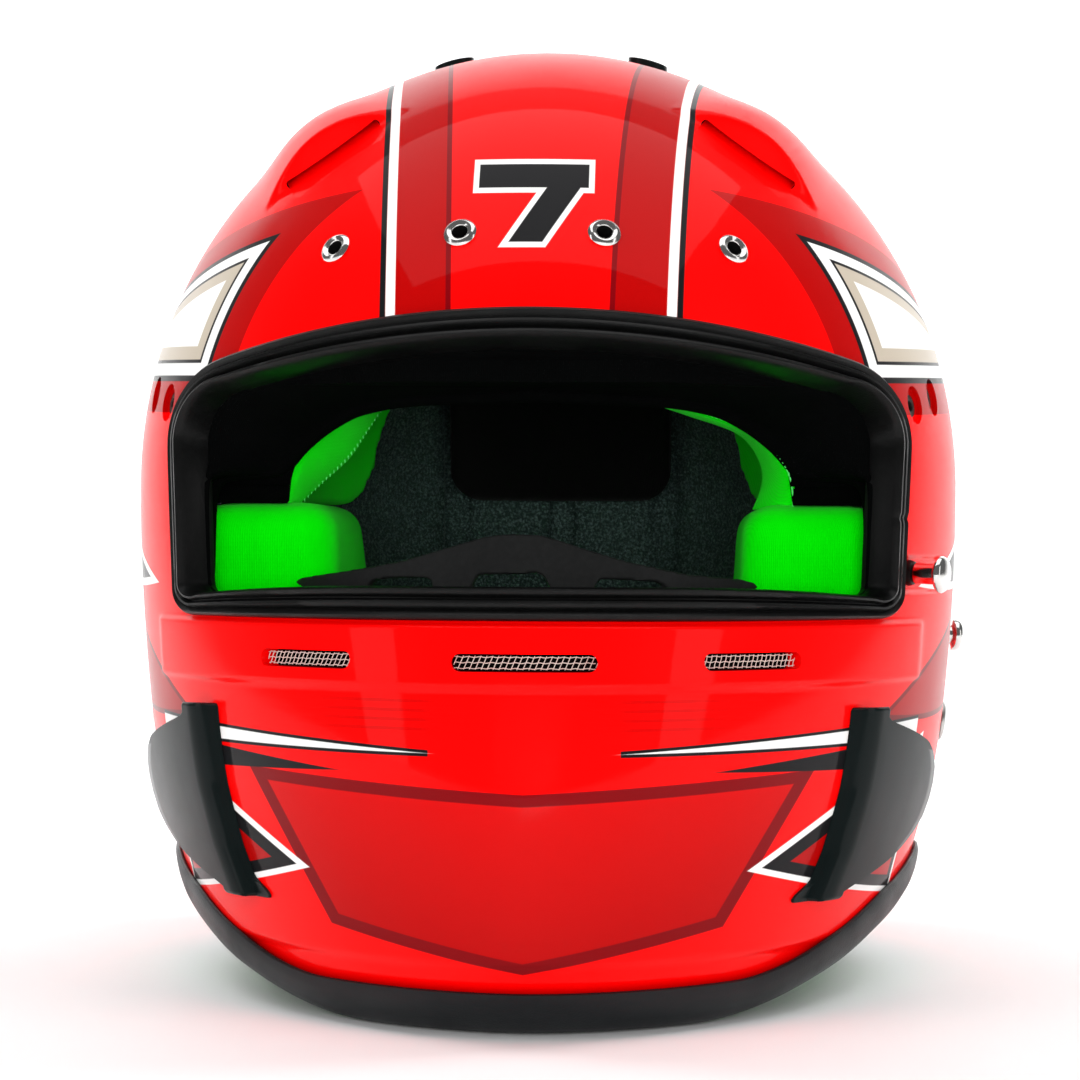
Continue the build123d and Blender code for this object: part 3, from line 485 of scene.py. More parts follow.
def plate(name: str, outlines: Sequence[Pairs], thick: float, voxel: float,
          bend: Callable[[Array], Array]) -> Item:
    """A soft-edged plate with holes, drawn flat and then bent.

    Args:
        name: The piece's name.
        outlines: Its flat outline and its holes.
        thick: Its thickness.
        voxel: The size of its facets.
        bend: Gives the final places of flat points.

    Returns:
        The piece.
    """
    curve = bpy.data.curves.new(name, "CURVE")
    curve.dimensions = "2D"
    curve.fill_mode = "BOTH"
    curve.extrude = thick / 2
    for outline in outlines:
        add_line(curve, [(*place, 0.0) for place in outline], True)
    flat = link(name, curve)
    mesh = final_mesh(flat)
    bpy.data.objects.remove(flat)
    item = link(name, mesh)
    tidy(item, 30.0)
    soften(item, voxel, 0.5, 4)
    move_points(item, bend(points_of(item)))
    tidy(item, 60.0)
    return item


def add_line(curve: bpy.types.Curve, places: Sequence, closed: bool) -> None:
    """Adds a line of straight steps to a curve.

    Args:
        curve: The curve.
        places: The line's points.
        closed: Whether it closes.
    """
    line = curve.splines.new("POLY")
    line.points.add(len(places) - 1)
    for point, place in zip(line.points, places):
        point.co = (*place, 1.0)
    line.use_cyclic_u = closed


def run_lengths(points: Array) -> Array:
    """How far along a line each of its points lies."""
    return np.concatenate([[0.0], np.cumsum(np.linalg.norm(np.diff(points, axis=0), axis=1))])


def arc(centre: Sequence[float], radius: float, start: float, end: float, count: int,
        last: bool = True) -> list[Array]:
    """Points on a flat arc, with or without its last."""
    return [centre + radius * np.array([math.cos(a), math.sin(a)])
            for a in np.linspace(start, end, count, endpoint=last)]


@dataclass(frozen=True)
class Spot:
    """A place on the shell with its directions."""

    origin: Place
    across: Place
    along: Place
    out: Place

    def place(self, local: Array) -> Array:
        """Turns the spot's own points into the frame's."""
        turn = np.array([self.across, self.along, self.out])
        return np.asarray(local, float) @ turn + np.array(self.origin)

    def local(self, points: Array) -> Array:
        """Turns the frame's points into the spot's own."""
        return (points - np.array(self.origin)) @ np.array([self.across, self.along, self.out]).T

    @staticmethod
    def at(point: Array, across: Array) -> "Spot":
        """The spot at a point on the shell.

        Args:
            point: The point.
            across: Roughly the way that the spot's first direction goes.

        Returns:
            The spot, with its third direction outwards.
        """
        out = FORM.normal(point)
        side = across - out * float(across @ out)
        side = side / np.linalg.norm(side)
        return Spot(tuple(point), tuple(side), tuple(np.cross(out, side)), tuple(out))

    @staticmethod
    def on_side(y: float, z: float, side: Side) -> "Spot":
        """The spot at a side place."""
        x = float(FORM.side_x(np.array(y), np.array(z)))
        return Spot.at(np.array([x * side.value, y, z]), np.array([0.0, 1.0, 0.0]))

    @staticmethod
    def on_front(x: float, z: float) -> "Spot":
        """The spot at a front place."""
        y = float(FORM.front_y(np.array(x), np.array(z)))
        return Spot.at(np.array([x, y, z]), np.array([1.0, 0.0, 0.0]))


class Nodes:
    """Writes nodes in few words."""

    def __init__(self, tree: Tree) -> None:
        """Keeps the tree."""
        self.tree = tree

    def add(self, kind: str, **settings: object) -> Node:
        """A new node.

        Args:
            kind: The node's type name.
            **settings: Its attributes.

        Returns:
            The node.
        """
        node = self.tree.nodes.new(kind)
        for key, value in settings.items():
            setattr(node, key, value)
        return node

    def feed(self, socket: Socket, value: object) -> None:
        """Links or sets one input.

        Args:
            socket: The input.
            value: A socket, or a constant.
        """
        if isinstance(value, Socket):
            self.tree.links.new(value, socket)
        elif isinstance(value, tuple) and socket.type == "RGBA" and len(value) == 3:
            socket.default_value = (*value, 1.0)
        else:
            socket.default_value = value

    def give(self, node: Node, **values: object) -> Node:
        """Links or sets inputs of a node.

        Args:
            node: The node.
            **values: Its inputs by name, with _ for a blank.

        Returns:
            The same node.
        """
        for key, value in values.items():
            self.feed(node.inputs[key.replace("_", " ")], value)
        return node

    def make(self, kind: str, **values: object) -> Node:
        """A new node with its inputs linked or set."""
        return self.give(self.add(kind), **values)

    def math(self, operation: str, *values: object, clamp: bool = False) -> Socket:
        """One calculation.

        Args:
            operation: The calculation's name.
            *values: Its inputs.
            clamp: Whether the result is kept between 0 and 1.

        Returns:
            The result.
        """
        node = self.add("ShaderNodeMath", operation=operation, use_clamp=clamp)
        for socket, value in zip(node.inputs, values):
            self.feed(socket, value)
        return node.outputs[0]

    def line(self, value: object, scale: float, shift: float) -> Socket:
        """A value times a scale plus a shift."""
        return self.math("MULTIPLY_ADD", value, scale, shift)

    def plus(self, value: object, other: object) -> Socket:
        """One value plus another."""
        return self.math("ADD", value, other)

    def minus(self, value: object, other: object) -> Socket:
        """One value less another."""
        return self.math("SUBTRACT", value, other)

    def times(self, value: object, other: object) -> Socket:
        """One value times another."""
        return self.math("MULTIPLY", value, other)

    def size(self, value: object) -> Socket:
        """A value without its sign."""
        return self.math("ABSOLUTE", value)

    def lowest(self, *values: object) -> Socket:
        """The smallest of several values."""
        return reduce(lambda first, second: self.math("MINIMUM", first, second), values)

    def over(self, value: object, edge: float, soft: float = 0.12) -> Socket:
        """A mask that is 1 where a value is over an edge, with half the change's width."""
        node = self.add("ShaderNodeMapRange", clamp=True)
        return self.give(node, Value=value, From_Min=edge - soft, From_Max=edge + soft).outputs[0]

    def between(self, value: object, low: float, high: float) -> Socket:
        """A mask that is 1 between two edges."""
        return self.math("SUBTRACT", self.over(value, low), self.over(value, high), clamp=True)

    def both(self, *masks: object) -> Socket:
        """Where every mask holds."""
        return reduce(self.times, masks)

    def mix(self, share: object, first: object, second: object) -> Socket:
        """A blend of two colours.

        Args:
            share: How much of the second.
            first: The first colour.
            second: The second colour.

        Returns:
            The blended colour.
        """
        node = self.add("ShaderNodeMix", data_type="RGBA")
        for place, value in ((0, share), (6, first), (7, second)):
            self.feed(node.inputs[place], value)
        return node.outputs[2]

    def place(self) -> Socket:
        """The place on the piece, in metres."""
        return self.add("ShaderNodeTexCoord").outputs["Object"]

    def axes(self, place: Socket) -> Sequence[Socket]:
        """The X, Y and Z of a place."""
        return self.make("ShaderNodeSeparateXYZ", Vector=place).outputs

    def noise(self, scale: object, detail: float = 2.0) -> Socket:
        """A noise value, by how fine it is per metre and its finer layers."""
        return self.make("ShaderNodeTexNoise", Vector=self.place(), Scale=scale, Detail=detail).outputs[0]

    def bump(self, height: object, depth: float, strength: float) -> Socket:
        """A normal from a height of 0 to 1 and its depth in metres."""
        return self.make("ShaderNodeBump", Height=height, Distance=depth, Strength=strength).outputs[0]

    def group(self, tree: Tree, **values: object) -> Sequence[Socket]:
        """The outputs of a group with its inputs set."""
        return self.give(self.add("ShaderNodeGroup", node_tree=tree), **values).outputs


def new_group(name: str, inputs: dict[str, float], outputs: Sequence[str]) -> tuple[Nodes, Callable, Callable]:
    """A new shader group of plain values.

    Args:
        name: The group's name.
        inputs: Its inputs and their first values.
        outputs: Its outputs.

    Returns:
        The node writer, a reader of inputs and a setter of outputs.
    """
    tree = bpy.data.node_groups.new(name, "ShaderNodeTree")
    for key, value in inputs.items():
        tree.interface.new_socket(key, in_out="INPUT", socket_type="NodeSocketFloat").default_value = value
    for key in outputs:
        tree.interface.new_socket(key, in_out="OUTPUT", socket_type="NodeSocketFloat")
    write = Nodes(tree)
    start, end = write.add("NodeGroupInput"), write.add("NodeGroupOutput")
    return write, lambda key: start.outputs[key], lambda key, value: write.feed(end.inputs[key], value)


@lru_cache(maxsize=None)
def handling_marks() -> Tree:
    """Faint smudges and rub marks: a mask that changes slowly and one that is fine.

    Returns:
        The shader group.
    """
    inputs = {"Smudge Scale": 30.0, "Rub Scale": 900.0}
    write, read, give = new_group("handling_marks", inputs, ("Smudge", "Rub"))
    for name in ("Smudge", "Rub"):
        give(name, write.over(write.noise(read(f"{name} Scale"), 4.0), 0.56, 0.16))
    return write.tree


@lru_cache(maxsize=None)
def knit() -> Tree:
    """A fine rib knit: its height, and the painted shade between its ribs.

    Returns:
        The shader group.
    """
    write, read, give = new_group("knit", {"Rib Scale": 700.0, "Row Scale": 1100.0}, ("Height", "Shade"))
    x, y, z = write.axes(write.place())
    wander = write.times(write.noise(60.0), 2.4)
    rib = write.times(write.plus(x, write.times(y, 0.7)), read("Rib Scale"))
    rib = write.size(write.math("SINE", write.plus(rib, wander)))
    row = write.times(z, read("Row Scale"))
    row = write.size(write.math("SINE", write.plus(row, wander)))
    height = write.times(write.math("POWER", rib, 0.6), write.line(row, 0.5, 0.5))
    give("Height", height)
    # Painted shade: low places between the ribs come out darker.
    give("Shade", write.over(height, 0.4, 0.35))
    return write.tree


@lru_cache(maxsize=None)
def beads() -> Tree:
    """Fused foam beads: their height, their seams and a slow change of tone.

    Returns:
        The shader group.
    """
    write, read, give = new_group("beads", {"Bead Scale": 340.0}, ("Height", "Seam", "Tone"))
    cells = write.add("ShaderNodeTexVoronoi", feature="DISTANCE_TO_EDGE")
    edge = write.give(cells, Vector=write.place(), Scale=read("Bead Scale")).outputs["Distance"]
    give("Height", write.over(edge, 0.1, 0.1))
    give("Seam", write.minus(1.0, write.over(edge, 0.06, 0.05)))
    give("Tone", write.noise(1100.0, 3.0))
    return write.tree


@dataclass(frozen=True)
class Finish:
    """A finish: its colour and how it shines. Subclasses add their own pattern."""

    name: str
    colour: Colour
    roughness: float = 0.5
    metallic: float = 0.0
    coat: float = 0.0
    sheen: float = 0.0
    gloss: float = 0.4
    coat_blur: float = 0.06
    index: float = 1.5

    def material(self) -> bpy.types.Material:
        """The material, made once for each name.

        Returns:
            The material.
        """
        known = bpy.data.materials.get(self.name)
        if known:
            return known
        made = bpy.data.materials.new(self.name)
        made.use_nodes = True
        made.node_tree.nodes.clear()
        write = Nodes(made.node_tree)
        shader = write.make(
            "ShaderNodeBsdfPrincipled", Base_Color=self.colour, Roughness=self.roughness,
            Metallic=self.metallic, IOR=self.index, Coat_Weight=self.coat, Coat_IOR=self.index,
            Coat_Roughness=self.coat_blur, Specular_IOR_Level=self.gloss, Sheen_Weight=self.sheen)
        write.make("ShaderNodeOutputMaterial", Surface=shader.outputs[0])
        self.pattern(write, shader)
        return made

    def pattern(self, write: Nodes, shader: Node) -> None:
        """Adds the finish's own pattern.

        Args:
            write: The node writer.
            shader: The finish's main shader.
        """
        marks = write.group(handling_marks(), Smudge_Scale=45.0, Rub_Scale=120.0)
        spread = write.line(marks["Smudge"], 0.05, self.roughness)
        write.give(shader, Roughness=write.math("MULTIPLY_ADD", marks["Rub"], 0.03, spread))

    def tone(self, scale: float, shift: float = 0.0) -> Colour:
        """The finish's colour, darker or paler."""
        return tuple(min(1.0, part * scale + shift) for part in self.colour)


@dataclass(frozen=True)
class MouldedRubber(Finish):
    """Rubber with a fine moulded grain."""

    grain: float = 1800.0
    depth: float = 0.00012

    def pattern(self, write: Nodes, shader: Node) -> None:
        """Adds the grain and a faint bloom.

        Args:
            write: The node writer.
            shader: The finish's main shader.
        """
        marks = write.group(handling_marks(), Smudge_Scale=60.0, Rub_Scale=700.0)
        bloom = write.times(marks["Rub"], 0.35)
        write.give(shader, Base_Color=write.mix(bloom, self.colour, self.tone(1.9, 0.0015)),
                   Roughness=write.line(marks["Smudge"], 0.14, self.roughness),
                   Normal=write.bump(write.noise(self.grain, 3.0), self.depth, 0.6))


@dataclass(frozen=True)
class KnitFabric(Finish):
    """A knitted cover over foam."""

    ribs: float = 6200.0
    depth: float = 0.00018

    def pattern(self, write: Nodes, shader: Node) -> None:
        """Adds the knit, its painted shade between the ribs and a soft unevenness.

        Args:
            write: The node writer.
            shader: The finish's main shader.
        """
        weave = write.group(knit(), Rib_Scale=self.ribs, Row_Scale=self.ribs * 1.35)
        # Painted shade: the knit is darker between its ribs.
        shade = write.mix(weave["Shade"], self.tone(0.8), self.colour)
        write.give(shader, Base_Color=write.mix(write.noise(70.0), shade, self.tone(1.08, 0.0004)),
                   Normal=write.bump(weave["Height"], self.depth, 0.7))


@dataclass(frozen=True)
class BeadFoam(Finish):
    """Dark crushable foam of fused beads."""

    seam: Colour = (0.01, 0.018, 0.016)
    light: Colour = (0.11, 0.17, 0.155)

    def pattern(self, write: Nodes, shader: Node) -> None:
        """Adds the beads, their seams and pale specks.

        Args:
            write: The node writer.
            shader: The finish's main shader.
        """
        foam = write.group(beads(), Bead_Scale=900.0)
        tone = write.mix(write.over(foam["Tone"], 0.55, 0.12), self.colour, self.light)
        write.give(shader, Base_Color=write.mix(write.times(foam["Seam"], 0.8), tone, self.seam),
                   Normal=write.bump(foam["Height"], 0.0004, 0.8))


@dataclass(frozen=True)
class TurnedMetal(Finish):
    """Metal with fine turning or rolling marks."""

    marks: float = 5200.0

    def pattern(self, write: Nodes, shader: Node) -> None:
        """Adds the marks and dull patches.

        Args:
            write: The node writer.
            shader: The finish's main shader.
        """
        worn = write.group(handling_marks(), Smudge_Scale=140.0, Rub_Scale=self.marks)
        write.give(shader, Roughness=write.line(worn["Smudge"], 0.1, self.roughness),
                   Base_Color=write.mix(write.times(worn["Rub"], 0.3), self.colour, self.tone(0.72)))


@dataclass(frozen=True)
class Webbing(Finish):
    """Woven webbing: cross ribs over a long twill."""

    pitch: float = 0.0011

    def pattern(self, write: Nodes, shader: Node) -> None:
        """Adds the weave: the width runs along Y, the length down and across.

        Args:
            write: The node writer.
            shader: The finish's main shader.
        """
        x, y, z = write.axes(write.place())
        turn = 2 * math.pi / self.pitch
        slant = write.plus(write.plus(z, x), write.times(y, 0.5))
        runs = ((y, turn), (slant, turn * 0.75))
        warp, weft = (write.math("SINE", write.times(run, scale)) for run, scale in runs)
        height = write.line(write.times(warp, weft), 0.5, 0.5)
        # Painted highlight: the weave's raised crossings are made paler.
        pale = write.mix(write.line(height, 0.6, 0.0), self.colour, self.tone(2.4, 0.01))
        write.give(shader, Base_Color=pale, Normal=write.bump(height, 0.00025, 0.8))


class Pen(Nodes):
    """A node writer that knows the place on the shell in millimetres."""

    def __init__(self, tree: Tree) -> None:
        """Reads the place.

        Args:
            tree: The tree to write in.
        """
        super().__init__(tree)
        scaled = self.add("ShaderNodeVectorMath", operation="SCALE")
        self.give(scaled, Vector=self.place(), Scale=1000.0)
        self.x, self.y, self.z = self.axes(scaled.outputs[0])
        self.across = self.size(self.x)

    def bands(self, depth: Socket, *edges: tuple[float, Colour], zone: Sequence = ()) -> Layers:
        """Nested bands: a colour wherever the depth is over its edge, inside the zone."""
        return [(self.both(self.over(depth, edge), *zone), colour) for edge, colour in edges]


@dataclass(frozen=True)
class RacingPaint(Finish):
    """The shell's red paint and its stripes, all from the place on the shell in millimetres."""

    deep: Colour = (0.42, 0.0, 0.0)
    darker: Colour = (0.2, 0.0, 0.002)
    black: Colour = (0.008, 0.008, 0.009)
    white: Colour = (0.93, 0.92, 0.9)
    cream: Colour = (0.52, 0.45, 0.36)

    def pattern(self, write: Nodes, shader: Node) -> None:
        """Lays the stripes over the base colour, and a faint ripple under the lacquer.

        Args:
            write: The node writer.
            shader: The finish's main shader.
        """
        pen, paint = Pen(write.tree), self.colour
        for layer in (self.crown_stripes, self.flank_flash, self.flank_lens, self.chin_panel,
                      self.chin_lines, self.chin_wedge, self.numeral):
            for mask, colour in layer(pen):
                paint = pen.mix(mask, paint, colour)
        marks = write.group(handling_marks(), Smudge_Scale=25.0, Rub_Scale=500.0)
        write.give(shader, Base_Color=paint, Roughness=write.line(marks["Smudge"], 0.06, self.roughness),
                   Normal=write.bump(write.noise(140.0), 0.00006, 0.35))

    def crown_stripes(self, pen: Pen) -> Layers:
        """Twin stripes from the brow over the crown, widening to the rear.

        Args:
            pen: The paint's node writer.

        Returns:
            The layers, lowest first.
        """
        off = pen.minus(pen.across, pen.line(pen.y, 0.065, 38.0))
        zone = pen.math("MAXIMUM", pen.over(pen.z, 176.0, 2.0), pen.over(pen.y, 0.0, 2.0))
        stripes = ((-6.5, 7.0, self.deep), (-8.0, -6.5, self.darker),
                   (7.0, 9.6, self.white), (9.6, 11.2, self.black))
        return [(pen.both(pen.between(off, low, high), zone), colour) for low, high, colour in stripes]

    def flank_flash(self, pen: Pen) -> Layers:
        """A pale flash from beside the eyeport, tapering rearwards.

        Args:
            pen: The paint's node writer.

        Returns:
            The layers, lowest first.
        """
        top = pen.minus(pen.line(pen.y, -0.21, 196.0), pen.z)
        low = pen.minus(pen.z, pen.line(pen.y, 0.055, 179.0))
        depth = pen.lowest(top, low, pen.line(pen.y, 0.9, 84.0))
        return pen.bands(depth, (-9.0, self.deep), (0.0, self.black), (1.7, self.white), (5.2, self.black),
                         (6.2, self.cream), (10.0, self.white))

    def flank_lens(self, pen: Pen) -> Layers:
        """Two long lens stripes on the flank.

        Args:
            pen: The paint's node writer.

        Returns:
            The layers, lowest first.
        """
        result = []
        low = (98.0, 0.2, 30.0, 120.0, 17.0, (0.0, self.darker), (1.6, self.deep))
        high = (126.0, 0.14, 18.0, 82.0, 9.0, (0.0, self.white), (2.2, self.black))
        for height, lean, centre, half, thick, *edges in (low, high):
            middle = pen.size(pen.minus(pen.z, pen.line(pen.y, lean, height)))
            along = pen.line(pen.y, 1 / half, -centre / half)
            room = pen.line(pen.times(along, along), -thick, thick)
            result += pen.bands(pen.minus(room, middle), *edges)
        return result

    def chin_panel(self, pen: Pen) -> Layers:
        """A deep red shield on the chin with a pointed foot.

        Args:
            pen: The paint's node writer.

        Returns:
            The layers, lowest first.
        """
        top = pen.minus(pen.line(pen.across, 0.05, 64.0), pen.z)
        side = pen.minus(pen.line(pen.z, 0.62, 35.0), pen.across)
        low = pen.minus(pen.z, pen.line(pen.across, 0.2, 17.0))
        depth = pen.lowest(top, pen.times(side, 0.85), low, pen.minus(-60.0, pen.y))
        inner = pen.times(pen.over(pen.z, 44.0, 20.0), 0.35)
        return [*pen.bands(depth, (0.0, self.darker), (3.2, self.deep)),
                *pen.bands(depth, (3.2, self.colour), zone=(inner,))]

    def chin_lines(self, pen: Pen) -> Layers:
        """Speed lines that run in from the winglets, and fine lines under the vent band.

        Args:
            pen: The paint's node writer.

        Returns:
            The layers, lowest first.
        """
        front = pen.over(pen.times(pen.y, -1.0), 60.0)
        white = pen.size(pen.minus(pen.z, pen.line(pen.across, 0.03, 73.4)))
        white = pen.minus(pen.line(pen.across, 0.028, -0.75), white)
        dark = pen.size(pen.minus(pen.z, pen.line(pen.across, 0.03, 67.2)))
        dark = pen.minus(pen.line(pen.across, 0.075, -3.7), dark)
        ripple = pen.math("SINE", pen.times(pen.z, 2.6))
        fade = pen.minus(pen.over(pen.across, 20.0, 8.0), pen.over(pen.across, 58.0, 16.0))
        fine = pen.both(pen.over(ripple, 0.35, 0.3), fade, pen.between(pen.z, 79.0, 88.5), front)
        return [
            (pen.both(pen.over(pen.plus(white, 0.9), 0.0), pen.over(pen.across, 25.0), front), self.black),
            (pen.both(pen.over(white, 0.0), front), self.white),
            (pen.both(pen.over(dark, 0.0), front), self.black),
            (pen.times(fine, 0.6), self.deep),
        ]

    def chin_wedge(self, pen: Pen) -> Layers:
        """A dark wedge that points in from under each winglet.

        Args:
            pen: The paint's node writer.

        Returns:
            The layers, lowest first.
        """
        upper = pen.minus(pen.line(pen.across, 0.62, 5.5), pen.z)
        lower = pen.minus(pen.z, pen.line(pen.across, -0.32, 60.5))
        depth = pen.lowest(pen.times(upper, 0.85), lower, pen.minus(-52.0, pen.y))
        zone = pen.over(pen.across, 55.0)
        return pen.bands(depth, (0.0, self.white), (1.7, self.black), (5.2, self.deep), zone=(zone,))

    def numeral(self, pen: Pen) -> Layers:
        """A plain block numeral seven on the brow.

        Args:
            pen: The paint's node writer.

        Returns:
            The layers, lowest first.
        """
        bar = pen.lowest(pen.minus(15.0, pen.across), pen.minus(3.6, pen.size(pen.line(pen.z, 1.0, -229.0))))
        lean = pen.size(pen.minus(pen.x, pen.line(pen.z, 0.62, -131.6)))
        leg = pen.lowest(pen.minus(3.9, pen.times(lean, 0.85)), pen.line(pen.z, 1.0, -209.5),
                         pen.line(pen.z, -1.0, 231.0), pen.line(pen.x, -1.0, 15.0))
        front = pen.over(pen.times(pen.y, -1.0), 20.0)
        return pen.bands(pen.math("MAXIMUM", bar, leg), (-1.5, self.white), (0.0, self.black), zone=(front,))


PAINT = RacingPaint("racing_paint", (0.95, 0.0, 0.0), 0.45, coat=0.42, gloss=0.08, coat_blur=0.04, index=1.3)
# Near-black: the shell's unpainted inside, and painted shade in eyelet bores and the slits under the hoods.
SHELL_INSIDE_AND_SHADE = Finish("shell_inside", (0.004, 0.004, 0.004), 0.8, gloss=0.1)
SEAL_RUBBER = MouldedRubber("satin_seal", (0.0022, 0.0023, 0.0023), 0.34, gloss=0.5, index=1.3)
EDGE_RUBBER = MouldedRubber("moulded_edging", (0.0035, 0.0045, 0.0055), 0.38, gloss=0.5, index=1.35)
GLOSS_BLACK = Finish("gloss_black", (0.004, 0.007, 0.007), 0.3, coat=0.5, gloss=0.2, coat_blur=0.03,
                     index=1.25)
FOAM = BeadFoam("crushable_foam", (0.022, 0.042, 0.037), 0.65, gloss=0.35)
GREEN = KnitFabric("green_knit", (0.0, 0.95, 0.0), 0.8, sheen=0.05, gloss=0.03)
LINING_CLOTH = KnitFabric("lining_cloth", (0.0012, 0.0014, 0.0014), 0.9, gloss=0.02)
DEFLECTOR_RUBBER = MouldedRubber("deflector_rubber", (0.0085, 0.0088, 0.0088), 0.42, gloss=0.5, index=1.3)
BLACK_KNIT = KnitFabric("black_knit", (0.003, 0.003, 0.003), 0.85, sheen=0.05, gloss=0.1)
CHROME = TurnedMetal("polished_metal", (0.86, 0.85, 0.83), 0.1, 1.0)
STEEL = TurnedMetal("zinc_steel", (0.6, 0.6, 0.58), 0.3, 1.0)
WIRE = TurnedMetal("vent_wire", (0.82, 0.77, 0.7), 0.4, 0.4)
INSERT = TurnedMetal("threaded_insert", (0.1, 0.09, 0.08), 0.45, 1.0)
STRAP = Webbing("strap_webbing", (0.008, 0.008, 0.009), 0.75)
THREAD = Finish("pale_thread", (0.1, 0.9, 0.16), 0.7)
SEAM_THREAD = Finish("seam_thread", (0.0, 0.3, 0.0), 0.8)
# Painted shade: a near-black plate behind the vent mesh.
VENT_DARK_PLATE = Finish("vent_filter", (0.002, 0.002, 0.002), 0.9, gloss=0.02)


def dress(item: Item, finish: Finish, nodes: Sequence[str] = ()) -> Item:
    """Gives a piece its finish, body and the nodes it stands for, and reports it.

    Args:
        item: The piece.
        finish: Its finish.
        nodes: The frame nodes that it replaces.

    Returns:
        The piece.
    """
    item.data.materials.clear()
    item.data.materials.append(finish.material())
    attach(item, BODY)
    if nodes:
        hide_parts(*nodes)
    LOG.info("%s: %d faces", item.name, len(item.data.polygons))
    return item


def line_inside(item: Item, finish: Finish, depth: Callable[[Array], Array]) -> None:
    """Gives the faces that lie deep under the shell's face another finish: the shell's near-black inside,
    which in holes and slits is painted shade.

    Args:
        item: The piece.
        finish: The other finish.
        depth: Gives the depth at which the other finish starts.
    """
    item.data.materials.append(finish.material())
    centres = np.array([polygon.center[:] for polygon in item.data.polygons])
    depths = depth(centres)
    inside = np.zeros(len(centres), bool)
    for level in np.unique(depths):
        inside |= (depths == level) & (FORM.level(centres, -float(level)) < 1.0)
    item.data.polygons.foreach_set("material_index", inside.astype(np.int32))


@dataclass(frozen=True)
class EyeportOutline:
    """The eyeport seen from the front."""

    top: float = 0.1906
    shoulder: float = 0.174
    bottom: float = 0.1085
    half_top: float = 0.1046
    half_bottom: float = 0.1016
    top_radius: float = 0.023
    bottom_radius: float = 0.007
    seal_width: float = 0.009

    def drawn_in(self, inset: float) -> Array:
        """The outline drawn in by an inset that is measured along the shell.

        Args:
            inset: How far it is drawn in.

        Returns:
            Points in X and Z.
        """
        outer = self.points(0.0, self.top_radius, self.bottom_radius)
        inner = self.points(self.seal_width, self.top_radius - 0.008, 0.0032)
        way = (inner - outer) / self.seal_width
        y = FORM.front_y(outer[:, 0], outer[:, 1])
        normal = FORM.normal(np.column_stack([outer[:, 0], y, outer[:, 1]]))
        slope = (normal[:, 0] * way[:, 0] + normal[:, 2] * way[:, 1]) / normal[:, 1]
        stretch = np.sqrt((way**2).sum(axis=1) + slope**2)
        return outer + way * (inset / stretch)[:, None]

    def points(self, inset: float, top_radius: float, bottom_radius: float) -> Array:
        """The outline drawn in by an inset, with as many points whatever the sizes.

        Args:
            inset: How far it is drawn in.
            top_radius: The radius of the upper corners.
            bottom_radius: The radius of the lower corners.

        Returns:
            Points in X and Z, from the middle of the top and round by +X.
        """
        sag = self.top - self.shoulder
        radius = (self.half_top**2 + sag**2) / (2 * sag)
        centre = np.array([0.0, self.top - radius])
        foot = np.array([self.half_bottom, self.bottom])
        lean = np.array([self.half_top, self.shoulder]) - foot
        lean = lean / np.linalg.norm(lean)
        inward = np.array([-lean[1], lean[0]])
        base = foot + inward * (inset + top_radius)
        reach = radius - inset - top_radius
        gap = base - centre
        half_b = gap @ lean
        travel = -half_b + math.sqrt(half_b**2 - gap @ gap + reach**2)
        corner = base + lean * travel
        low_base = foot + inward * (inset + bottom_radius)
        low_z = self.bottom + inset + bottom_radius
        low = low_base + lean * ((low_z - low_base[1]) / lean[1])
        start = math.atan2(*(corner - centre)[::-1])
        out = math.atan2(-inward[1], -inward[0])
        top_run = arc(centre, radius - inset, math.pi / 2, start, 36, False)
        top_bend = arc(corner, top_radius, start, out, 16)
        low_bend = arc(low, bottom_radius, out, -math.pi / 2, 12)
        side = [top_bend[-1] + (low_bend[0] - top_bend[-1]) * s for s in np.linspace(0, 1, 40)[1:-1]]
        floor_end = np.array([0.0, low_bend[-1][1]])
        floor = [low_bend[-1] + (floor_end - low_bend[-1]) * s for s in np.linspace(0, 1, 30)[1:]]
        half = [*top_run, *top_bend, *side, *low_bend, *floor]
        other = [np.array([-p[0], p[1]]) for p in reversed(half[1:-1])]
        return np.array([*half, *other])


PORT = EyeportOutline()


